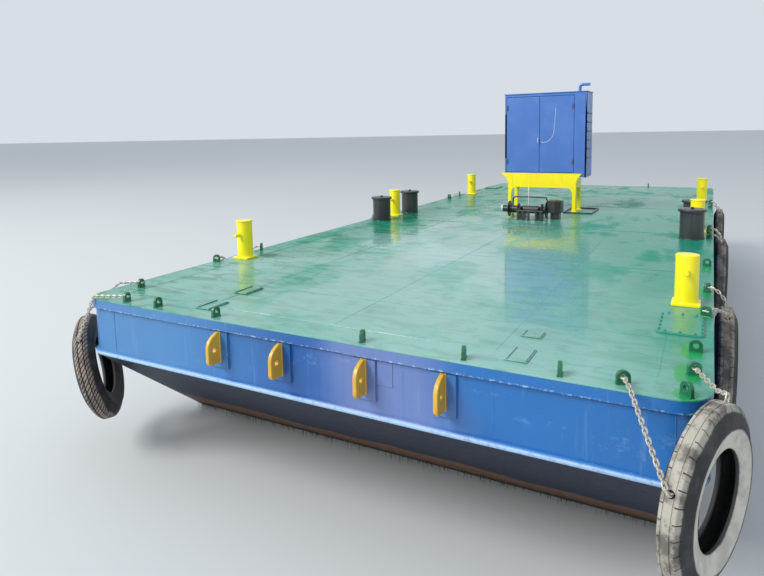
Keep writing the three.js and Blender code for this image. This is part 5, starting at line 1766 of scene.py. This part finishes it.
@dataclass
class Cabinet:
    """The machinery cabinet: folded sheet with louvres in its sides, two doors, a roof and an exhaust."""

    wall: float = 0.025
    door_left: float = 0.025
    door_right: float = 0.198
    door_top: float = 0.040
    door_bottom: float = 0.072
    roof_over: float = 0.012
    roof_thick: float = 0.014
    slots: int = 6
    slot_length: float = 0.400
    slot_height: float = 0.024
    slot_first: float = 0.308
    slot_pitch: float = 0.145
    hood: float = 0.016
    hood_reach: float = 0.65
    pipe: float = 0.024
    pipe_bend: float = 0.050
    collar: float = 0.041
    collar_high: float = 0.012
    pack_ribs: int = 6
    pack_feet: float = 0.03
    pack_lid: float = 0.05

    def __post_init__(self) -> None:
        """Reads the cabinet's box from the frame."""
        low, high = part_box("cabinet")
        self.x0, self.x1 = low.x + self.roof_over, high.x - self.roof_over
        self.y0, self.y1 = low.y + self.roof_over, high.y - self.roof_over
        self.z0, self.z1 = low.z, high.z - self.roof_thick

    def slot_span(self) -> tuple[float, float]:
        """Y of both ends of the louvre slots."""
        middle = (self.y0 + self.y1) / 2
        return middle - self.slot_length / 2, middle + self.slot_length / 2

    def slot_feet(self) -> Array:
        """Z of the foot of each louvre slot."""
        return self.z0 + self.slot_first + self.slot_pitch * np.arange(self.slots)

    def side_panel(self, x: float) -> Patch:
        """One side with its slots: rows alternate between sheet and slot."""
        us = np.array([self.y0, *self.slot_span(), self.y1])
        feet = self.slot_feet()
        vs = np.sort(np.concatenate([[self.z0, self.z1], feet, feet + self.slot_height]))
        solid = np.ones((3, len(vs) - 1), bool)
        solid[1, 1::2] = False
        return pierced(us, vs, solid, x, x + self.wall, "yz")

    def hoods(self, x: float, out: int) -> Patch:
        """A curved hood over each slot: a quarter circle of thin sheet carried along the slot."""
        low, high = self.slot_span()
        outer = arc((0, 0), self.hood, 90, 0, 6) * (out, 1)
        inner = arc((0, 0), self.hood - 0.002, 0, 90, 6) * (out, 1)
        section = np.concatenate([outer, inner]) * (self.hood_reach, 1.5)
        parts = [prism(section + (x, foot + 0.004), low - 0.006, high + 0.006, "xz")
                 for foot in self.slot_feet()]
        return joined(*parts)

    def front(self) -> Patch:
        """The front frame round the doors, wide on the starboard side."""
        us = np.array([self.x0, self.x0 + self.door_left, self.x1 - self.door_right, self.x1])
        vs = np.array([self.z0, self.z0 + self.door_bottom, self.z1 - self.door_top, self.z1])
        solid = np.ones((3, 3), bool)
        solid[1, 1] = False
        return pierced(us, vs, solid, self.y0, self.y0 + self.wall, "xz")

    def make(self) -> None:
        """Makes the shell, the hoods, the roof and the pieces in and on it."""
        x0, x1, y0, y1, z0, z1, wall = self.x0, self.x1, self.y0, self.y1, self.z0, self.z1, self.wall
        clear = 0.0001
        shell = joined(
            self.front(),
            self.side_panel(x0),
            self.side_panel(x1 - wall),
            block((x0 + wall, y1 - wall, z0), (x1 - wall, y1, z1)),
            block((x0 + wall, y0 + wall, z0 + clear), (x1 - wall, y1 - wall, z0 + wall)),
        )
        make_piece("cabinet_shell", shell, CABINET, Slot.CABINET, stands_for=("cabinet",), bevel=0.0015)
        over = self.roof_over
        roof = prism(rounded(x1 - x0 + 2 * over, y1 - y0 + 2 * over, 0.010, 3), z1, z1 + self.roof_thick)
        roof = roof.shifted((x0 + x1) / 2, (y0 + y1) / 2, 0)
        make_piece("cabinet_roof", roof, CABINET, Slot.CABINET, bevel=0.003)
        hoods = joined(self.hoods(x0 + 0.001, -1), self.hoods(x1 - 0.001, 1))
        # The hoods are black, painted shade for the dark inside of the slots, not the cabinet's own blue.
        make_piece("cabinet_louvres", hoods, BLACK, Slot.CABINET)
        self.make_pack()
        self.make_exhaust()

    def make_pack(self) -> None:
        """The power pack: a plain block with ribs, a lid and feet, as large as the frame's node."""
        low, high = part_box("power_pack")
        width = high.x - low.x
        lid = high.z - self.pack_lid
        parts = [block((low.x, low.y, low.z + self.pack_feet), (high.x, high.y, lid)),
                 block((low.x + 0.03, low.y + 0.02, lid), (high.x - 0.03, high.y - 0.02, high.z))]
        for i in range(self.pack_ribs):
            x = low.x + width * (i + 0.5) / self.pack_ribs
            parts.append(block((x - 0.02, low.y + 0.01, low.z), (x + 0.02, high.y - 0.01, low.z + 0.031)))
        make_piece("power_pack_block", joined(*parts), GREY, Slot.GREY, stands_for=("power_pack",),
                   bevel=0.006)

    def make_exhaust(self) -> None:
        """The exhaust: a pipe up from a collar and bent over to starboard."""
        low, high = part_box("exhaust")
        y, bend, radius = (low.y + high.y) / 2, self.pipe_bend, self.pipe
        x, top = low.x + self.collar, high.z - radius
        elbow = arc((x + bend, top - bend), bend, 180, 90, 10)
        line = np.array([(x, y, low.z), *[(place, y, height) for place, height in elbow], (high.x, y, top)])
        edge, high_edge = self.collar - 0.002, self.collar_high
        collar = turned([(0, 0), (self.collar, 0), (self.collar, high_edge - 0.002), (edge, high_edge),
                         (0, high_edge)],
                        32)
        make_piece("exhaust_pipe", joined(tube(line, radius, 24), collar.shifted(x, y, low.z)), CABINET,
                   Slot.STEEL, stands_for=("exhaust",))


@dataclass
class Door:
    """One cabinet door: folded panel, two hinges, and on the port one the lock."""

    side: int
    thick: float = 0.022
    gap: float = 0.006
    axis_proud: float = 0.009
    pin: float = 0.007
    pin_half: float = 0.042
    leaf: float = 0.024
    leaf_half: float = 0.038
    hinge_shares: tuple[float, float] = (0.14, 0.86)
    knuckle_pitch: float = 0.66
    knuckle_half: float = 0.31
    lock_high: float = 1.216
    lock_in: float = 0.014
    rose: float = 0.012
    handle_up: float = 0.030
    handle_down: float = 0.060
    run_points: tuple[tuple[float, float], ...] = (
        (-0.155, 3.012), (-0.098, 2.995), (-0.015, 3.027), (0.034, 3.085), (0.065, 3.183), (0.079, 3.364),
        (0.093, 3.560),
    )

    def hinges(self, outer: float, front: float, low: float, high: float) -> Patch:
        """Two hinges: three knuckles on a pin, and a leaf on the door."""
        axis_x, axis_y = outer - self.side * self.gap, front - self.axis_proud
        knuckle = self.pin_half * self.knuckle_half
        parts = []
        for share in self.hinge_shares:
            z = low + share * (high - low)
            for step in (-1, 0, 1):
                middle = z + step * self.pin_half * self.knuckle_pitch
                parts.append(rod((axis_x, axis_y, middle - knuckle), (axis_x, axis_y, middle + knuckle),
                                 self.pin, 16))
            parts.append(rod((axis_x, axis_y, z - self.pin_half), (axis_x, axis_y, z + self.pin_half),
                             self.pin * 0.6, 10))
            x0, x1 = sorted((axis_x, axis_x - self.side * self.leaf))
            parts.append(block((x0, front - 0.006, z - self.leaf_half),
                               (x1, front + 0.001, z + self.leaf_half)))
        return joined(*parts)

    def make(self) -> None:
        """Makes the door on its own body."""
        name = side_name(self.side)
        body = Body.PORT_DOOR if self.side < 0 else Body.STARBOARD_DOOR
        low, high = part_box(f"door_{name}")
        front = high.y - self.thick
        outer, meet = (low.x, high.x) if self.side < 0 else (high.x, low.x)
        x0, x1 = sorted((outer, meet))
        panel = block((x0, front, low.z), (x1, front + self.thick, high.z))
        make_piece(f"door_leaf_{name}", panel, CABINET, Slot.CABINET, body, (f"door_{name}",), bevel=0.003)
        hinges = self.hinges(outer, front, low.z, high.z)
        make_piece(f"door_hinges_{name}", hinges, HINGE_STEEL, Slot.CABINET, body, bevel=0.001)
        if self.side < 0:
            self.make_lock(meet - self.lock_in, front)
        else:
            self.make_run(front)

    def make_lock(self, x: float, front: float) -> None:
        """The lock: a rose, a stem and an upright handle with rounded ends."""
        z = FORM.deck + self.lock_high
        rose = rod((x, front + 0.002, z), (x, front - 0.006, z), self.rose, 24)
        stem = rod((x, front, z), (x, front - 0.036, z), self.rose * 0.7, 16)
        heights = np.array([self.handle_up, self.handle_up - 0.002, self.handle_up - 0.006, 0,
                            -self.handle_down + 0.006, -self.handle_down + 0.002, -self.handle_down])
        line = np.column_stack([np.full(7, x), np.full(7, front - 0.036), z + heights])
        grip = tube(line, np.array([0.003, 0.0062, 0.0078, 0.0078, 0.0078, 0.0062, 0.003]), 12)
        make_piece("door_lock", joined(rose, stem, grip), BRIGHT_STEEL, Slot.STEEL, Body.PORT_DOOR)

    def make_run(self, front: float) -> None:
        """A thin pale run of old paint that curves down the starboard door, half sunk in it."""
        line = through([(x, front - 0.0006, z) for x, z in self.run_points], 10)
        make_piece("door_paint_run", tube(line, 0.0034, 8), WHITE, Slot.STEEL, Body.STARBOARD_DOOR)


@dataclass
class Stand:
    """The cabinet's yellow stand: four legs on feet, front and back aprons, side rails and the tray."""

    left: float = -0.706
    right: float = 0.434
    front: float = FORM.at(6.950)
    back: float = FORM.at(7.405)
    leg: float = 0.060
    apron_top: float = 0.650
    apron_bottom: float = 0.408
    flare_start: float = 0.465
    flare_left: float = -0.835
    flare_right: float = 0.528
    arch_wide: float = 0.090
    arch_high: float = 0.130
    sheet: float = 0.008
    foot: float = 0.110
    foot_thick: float = 0.010
    tray: float = 0.590
    tray_left: float = -0.760
    tray_right: float = 0.528
    tray_back: float = FORM.at(7.455)

    def arch(self) -> Array:
        """The apron's lower edge from leg to leg: straight, with a quarter round at each leg."""
        low, bottom = self.apron_bottom - self.arch_high, self.apron_bottom
        left, right, wide = self.left + self.leg, self.right - self.leg, self.arch_wide
        return np.concatenate([
            [(self.left, low)],
            bent((left, low), (left, bottom), (left + wide, bottom), 10),
            bent((right - wide, bottom), (right, bottom), (right, low), 10),
            [(self.right, low)],
        ])

    def front_apron(self) -> Array:
        """The arch, and both sides flared out in a curve to the top edge."""
        turn_in = (self.apron_top + self.flare_start) / 2
        rising = bent((self.right, self.flare_start), (self.right, turn_in),
                      (self.flare_right, self.apron_top), 10)
        falling = bent((self.flare_left, self.apron_top), (self.left, turn_in),
                       (self.left, self.flare_start), 10)
        return np.concatenate([self.arch(), rising, falling])

    def back_apron(self) -> Array:
        """The arch, and straight sides up to the tray."""
        return np.concatenate([self.arch(), [(self.right, self.tray), (self.left, self.tray)]])

    def make(self) -> None:
        """Makes the stand on the frame's own node."""
        deck, leg, sheet, clear = FORM.deck, self.leg, self.sheet, 0.0005
        parts = []
        for x in (self.left, self.right - leg):
            for y in (self.front, self.back - leg):
                post = prism(rounded(leg, leg, 0.006, 3), deck + self.foot_thick * 0.5,
                             deck + self.tray - sheet / 2)
                foot = prism(rounded(self.foot, self.foot, 0.008, 3), deck + GAP, deck + self.foot_thick)
                parts.append(joined(post, foot).shifted(x + leg / 2, y + leg / 2, 0))
        parts.append(prism(self.front_apron() + (0, deck), self.front - clear, self.front + sheet, "xz"))
        parts.append(prism(self.back_apron() + (0, deck), self.back - sheet, self.back + clear, "xz"))
        for x in (self.left - clear, self.right - sheet + clear):
            parts.append(block((x, self.front + 0.002, deck + self.apron_bottom),
                               (x + sheet, self.back - 0.002, deck + self.tray - 0.001)))
        parts.append(block((self.tray_left, self.front + sheet / 2, deck + self.tray - sheet),
                           (self.tray_right, self.tray_back, deck + self.tray)))
        make_piece("cabinet_stand", joined(*parts), YELLOW, Slot.YELLOW, stands_for=("stand",), bevel=0.0015)


# Winch and rack


@dataclass
class Winch:
    """The deck winch: brackets, legs with their rail, guard arch and brake lever, drum and motor."""

    axis_y: float = FORM.at(6.130)
    axis_z: float = FORM.deck + 0.138
    left: float = -0.554
    right: float = 0.168
    shaft: float = 0.020
    bracket: float = 0.014
    play: float = 0.002
    barrels: tuple[tuple[float, float, float], ...] = (
        (-0.554, -0.250, 0.054), (-0.206, 0.028, 0.057), (0.072, 0.160, 0.054),
    )
    discs: tuple[tuple[float, float], ...] = ((-0.430, 0.125), (-0.285, 0.095), (0.086, 0.095),
                                              (0.155, 0.125))
    disc_thick: float = 0.010
    bracket_x: tuple[float, float] = (-0.228, 0.050)
    bracket_out: float = 0.245
    bracket_half_top: float = 0.048
    bracket_back: float = 0.040
    bracket_top: float = 0.186
    bracket_front: float = 0.158
    hub: float = 0.036
    hub_proud: float = 0.005
    leg_x: tuple[float, ...] = (-0.228, -0.151, -0.067, 0.050, 0.122)
    leg_width: float = 0.032
    leg_back: float = 0.230
    rail: float = 0.014
    rail_high: float = 0.138
    guard_x: tuple[float, float] = (-0.430, 0.122)
    guard_out: float = 0.185
    guard_high: tuple[float, float] = (0.250, 0.310)
    guard_bend: float = 0.060
    guard_bar: float = 0.011
    sill: float = 0.060
    lever_x: float = -0.172
    lever: float = 0.013
    lever_top: float = 0.470
    case_up: float = 0.100
    case_length: float = 0.115
    foot_in: float = 0.040
    fin_pitch: float = 0.016
    fin_thick: float = 0.006
    bolt: float = 0.008
    bolt_y: float = 0.085
    bolt_z: float = 0.070

    def brackets(self) -> Patch:
        """Two bored plates, high at the front and low behind, with a bearing housing on each."""
        y, z, deck, out = self.axis_y, self.axis_z, FORM.deck, self.bracket_out
        foot, top, half_top = deck + GAP, deck + self.bracket_top, self.bracket_half_top
        outline = np.array([(y - out, foot), (y + out, foot), (y + out, deck + self.bracket_back),
                            (y + half_top, top), (y - half_top, top), (y - out, deck + self.bracket_front)])
        bore = self.shaft + self.play
        half = self.bracket / 2
        plates = [bored(outline, (y, z), bore, x - half, x + half, "yz", lip=0.001) for x in self.bracket_x]
        rim, proud = arc((y, z), self.hub, 0, 360, 32)[:-1], half + self.hub_proud
        hubs = [bored(rim, (y, z), bore, x - proud, x + proud, "yz", lip=0.002) for x in self.bracket_x]
        return joined(*plates, *hubs)

    def legs(self) -> Patch:
        """The front legs, each on a foot, and the round rail on them."""
        y, deck, half = self.axis_y - self.leg_back, FORM.deck, self.leg_width / 2
        parts = []
        for x in self.leg_x:
            post = prism(rounded(2 * half, 2 * half, 0.004, 2), deck + GAP, deck + self.rail_high)
            foot = prism(rounded(3 * half, 3 * half, 0.004, 2), deck + GAP, deck + 0.008)
            parts += [post.shifted(x, y, 0), foot.shifted(x, y, 0)]
        first, last = self.leg_x[0] - self.leg_width, self.leg_x[-1] + self.leg_width
        level = deck + self.rail_high
        parts.append(rod((first, y, level), (last, y, level), self.rail, 16))
        return joined(*parts)

    def guard(self) -> Patch:
        """The arch behind the drum and the sill bar between its feet."""
        y, deck, bend = self.axis_y + self.guard_out, FORM.deck, self.guard_bend
        (left, right), (shoulder, top) = self.guard_x, self.guard_high
        arch = through([(left, y, deck + GAP), (left, y, deck + shoulder - 0.02),
                        (left + bend * 0.25, y, deck + top - 0.02),
                        (left + bend, y, deck + top), (right - bend, y, deck + top),
                        (right - bend * 0.25, y, deck + top - 0.02), (right, y, deck + shoulder - 0.02),
                        (right, y, deck + GAP)], 8)
        sill = rod((left, y, deck + self.sill), (right, y, deck + self.sill), self.guard_bar, 12)
        return joined(tube(arch, self.guard_bar, 12), sill)

    def drum(self) -> Patch:
        """Everything that turns: one profile of (radius, X) about the shaft, with its barrels and discs."""
        half, edge = self.disc_thick / 2, 0.002
        stops = [(x0, x1, radius) for x0, x1, radius in self.barrels]
        stops += [(x - half, x + half, radius) for x, radius in self.discs]
        cuts = sorted({self.left, self.right, *[x for stop in stops for x in stop[:2]]})
        profile = [(0.0, self.left)]
        for x0, x1 in zip(cuts, cuts[1:]):
            radius = max([r for a, b, r in stops if a <= x0 and x1 <= b], default=self.shaft)
            profile += [(radius - edge, x0), (radius, x0 + edge), (radius, x1 - edge), (radius - edge, x1)]
        profile.append((0.0, self.right))
        turn = Matrix.Translation((0, self.axis_y, self.axis_z)) @ Matrix.Rotation(math.pi / 2, 4, "Y")
        return turned(profile, 56).moved(turn)

    def motor(self) -> Patch:
        """Gear case, finned end and foot, as large as the frame's node."""
        low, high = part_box("winch_motor")
        case_low, split = FORM.deck + self.case_up, low.x + self.case_length
        y, z = (low.y + high.y) / 2, (case_low + high.z) / 2
        foot_in, bolt_y, bolt_z = self.foot_in, self.bolt_y, self.bolt_z
        parts = [block((low.x, low.y, case_low), (split, high.y, high.z)),
                 block((low.x + foot_in, low.y + foot_in, low.z),
                       (high.x - foot_in, high.y - foot_in, case_low + 0.001)),
                 block((split - 0.001, low.y + 0.012, case_low),
                       (high.x - 0.006, high.y - 0.012, high.z - 0.012))]
        fins = np.arange(split + 0.010, high.x - 0.010, self.fin_pitch)
        parts += [block((x, low.y + 0.002, case_low + 0.004),
                        (x + self.fin_thick, high.y - 0.002, high.z - 0.004)) for x in fins]
        parts += [rod((low.x + 0.001, y + a * bolt_y, z + b * bolt_z),
                      (low.x - 0.006, y + a * bolt_y, z + b * bolt_z),
                      self.bolt, 6) for a in (-1, 1) for b in (-1, 1)]
        return joined(*parts)

    def make(self) -> None:
        """Makes the winch's pieces."""
        deck, y, z = FORM.deck, self.axis_y, self.axis_z
        frame_patch = joined(self.brackets(), self.legs(), self.guard())
        make_piece("winch_bed", frame_patch, BLACK, Slot.BLACK, stands_for=("winch_frame",), bevel=0.001)
        lever_y, top = y + self.guard_out, deck + self.lever_top
        heights = np.array([deck + self.sill, top - 0.090, top - 0.086, top - 0.006, top - 0.002, top])
        sizes = np.array([0.85, 0.85, 1.0, 1.0, 0.75, 0.35]) * self.lever
        lever = tube(np.column_stack([np.full(6, self.lever_x), np.full(6, lever_y), heights]), sizes, 12)
        make_piece("winch_lever", lever, WHITE, Slot.BLACK)
        make_piece("winch_drum_discs", self.drum(), BLACK, Slot.BLACK, Body.DRUM, ("winch_drum",))
        cap = rod((self.left - 0.001, y, z), (self.left + 0.022, y, z), self.barrels[0][2] + 0.0006, 32)
        make_piece("winch_drum_cap", cap, WHITE, Slot.BLACK, Body.DRUM, bevel=0.003)
        make_piece("winch_gear", self.motor(), BLACK, Slot.BLACK, stands_for=("winch_motor",), bevel=0.002)


@dataclass
class Rack:
    """The open rack that lies on the deck beside the stand."""

    bar: float = 0.022

    def make(self) -> None:
        """Makes the four bars on the frame's own node."""
        low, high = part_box("deck_rack")
        xs = np.array([low.x, low.x + self.bar, high.x - self.bar, high.x])
        ys = np.array([low.y, low.y + self.bar, high.y - self.bar, high.y])
        solid = np.ones((3, 3), bool)
        solid[1, 1] = False
        patch = pierced(xs, ys, solid, low.z, high.z, "xy")
        make_piece("deck_rack_bars", patch, BLACK, Slot.BLACK, stands_for=("deck_rack",), bevel=0.003)


# Studio


@dataclass(frozen=True)
class Viewpoint:
    """Where the photograph was taken from, and its lens on a 36 mm wide frame."""

    position: tuple[float, float, float] = (2.382, -9.420, 3.219)
    heading: float = 28.50
    dip: float = 6.37
    roll: float = -1.08
    lens: float = 28.66
    shift: float = -0.1152
    frame_width: float = 36.0
    sight: float = 400.0

    def make(self) -> None:
        """Makes the camera: turned to its heading, dipped, and rolled about its own line of sight."""
        data = bpy.data.cameras.new("camera")
        data.lens = self.lens
        data.sensor_width = self.frame_width
        data.shift_y = self.shift
        data.clip_end = self.sight
        camera = put_in_scene("camera", data)
        turn = (Matrix.Rotation(math.radians(self.heading), 4, "Z")
                @ Matrix.Rotation(math.radians(90 - self.dip), 4, "X")
                @ Matrix.Rotation(math.radians(self.roll), 4, "Z"))
        camera.matrix_world = Matrix.Translation(self.position) @ turn
        bpy.context.scene.camera = camera


@dataclass(frozen=True)
class Studio:
    """A pale floor at the waterline, an even pale sky, and one broad soft light from port and astern."""

    floor_reach: float = 400.0
    floor: Colour = srgb(200, 204, 206)
    floor_rough: float = 0.7
    sky: Colour = (0.80, 0.86, 0.92, 1.0)
    sky_strength: float = 0.85
    key_power: float = 17000.0
    key_size: float = 20.0
    key_place: tuple[float, float, float] = (-22.0, -30.0, 28.0)
    key_aim: tuple[float, float, float] = (0.0, -1.5, 1.8)
    key_colour: tuple[float, float, float] = (1.0, 0.97, 0.92)

    def make(self) -> None:
        """Makes the floor, the world and the light."""
        reach = self.floor_reach
        mesh = bpy.data.meshes.new("studio_floor")
        level = FORM.waterline
        mesh.from_pydata([(-reach, -reach, level), (reach, -reach, level), (reach, reach, level),
                          (-reach, reach, level)], [], [(0, 1, 2, 3)])
        paint = Paint("studio_floor")
        mesh.materials.append(paint.finish(self.floor, self.floor_rough))
        put_in_scene("studio_floor", mesh)
        world = bpy.data.worlds.new("sky")
        world.use_nodes = True
        background = world.node_tree.nodes["Background"]
        background.inputs["Color"].default_value = self.sky
        background.inputs["Strength"].default_value = self.sky_strength
        bpy.context.scene.world = world
        light = bpy.data.lights.new("key", "AREA")
        light.energy = self.key_power
        light.size = self.key_size
        light.color = self.key_colour
        lamp = put_in_scene("key", light)
        lamp.location = self.key_place
        lamp.rotation_euler = (Vector(self.key_aim) - lamp.location).to_track_quat("-Z", "Y").to_euler()
        bpy.context.scene.view_settings.view_transform = "Standard"


def main() -> None:
    """Builds the barge round its frame, in order."""
    logging.basicConfig(level=logging.INFO, format="%(message)s")
    Viewpoint().make()
    Studio().make()
    Shell().make()
    WeedFringe().make()
    fenders = make_fenders()
    Deck().make([eye for fender in fenders for eye in fender.eyes] + extra_eyes())
    for end in End:
        Headlog(end).make()
    for side in (-1, 1):
        RubStrake(side).make()
        for place in ("aft", "mid", "fore"):
            Bollard(place, side).make()
        for place in ("aft", "fore"):
            Bitt(place, side).make()
        name = side_name(side)
        for number in (1, 2):
            DeckSocket(f"deck_socket_{name}_{number}").make()
        Door(side).make()
    for place in ("aft", "fore"):
        Manhole(f"manhole_cover_{place}").make()
    for fender in fenders:
        fender.make()
    Cabinet().make()
    Stand().make()
    Winch().make()
    Rack().make()


if __name__ == "__main__":
    main()
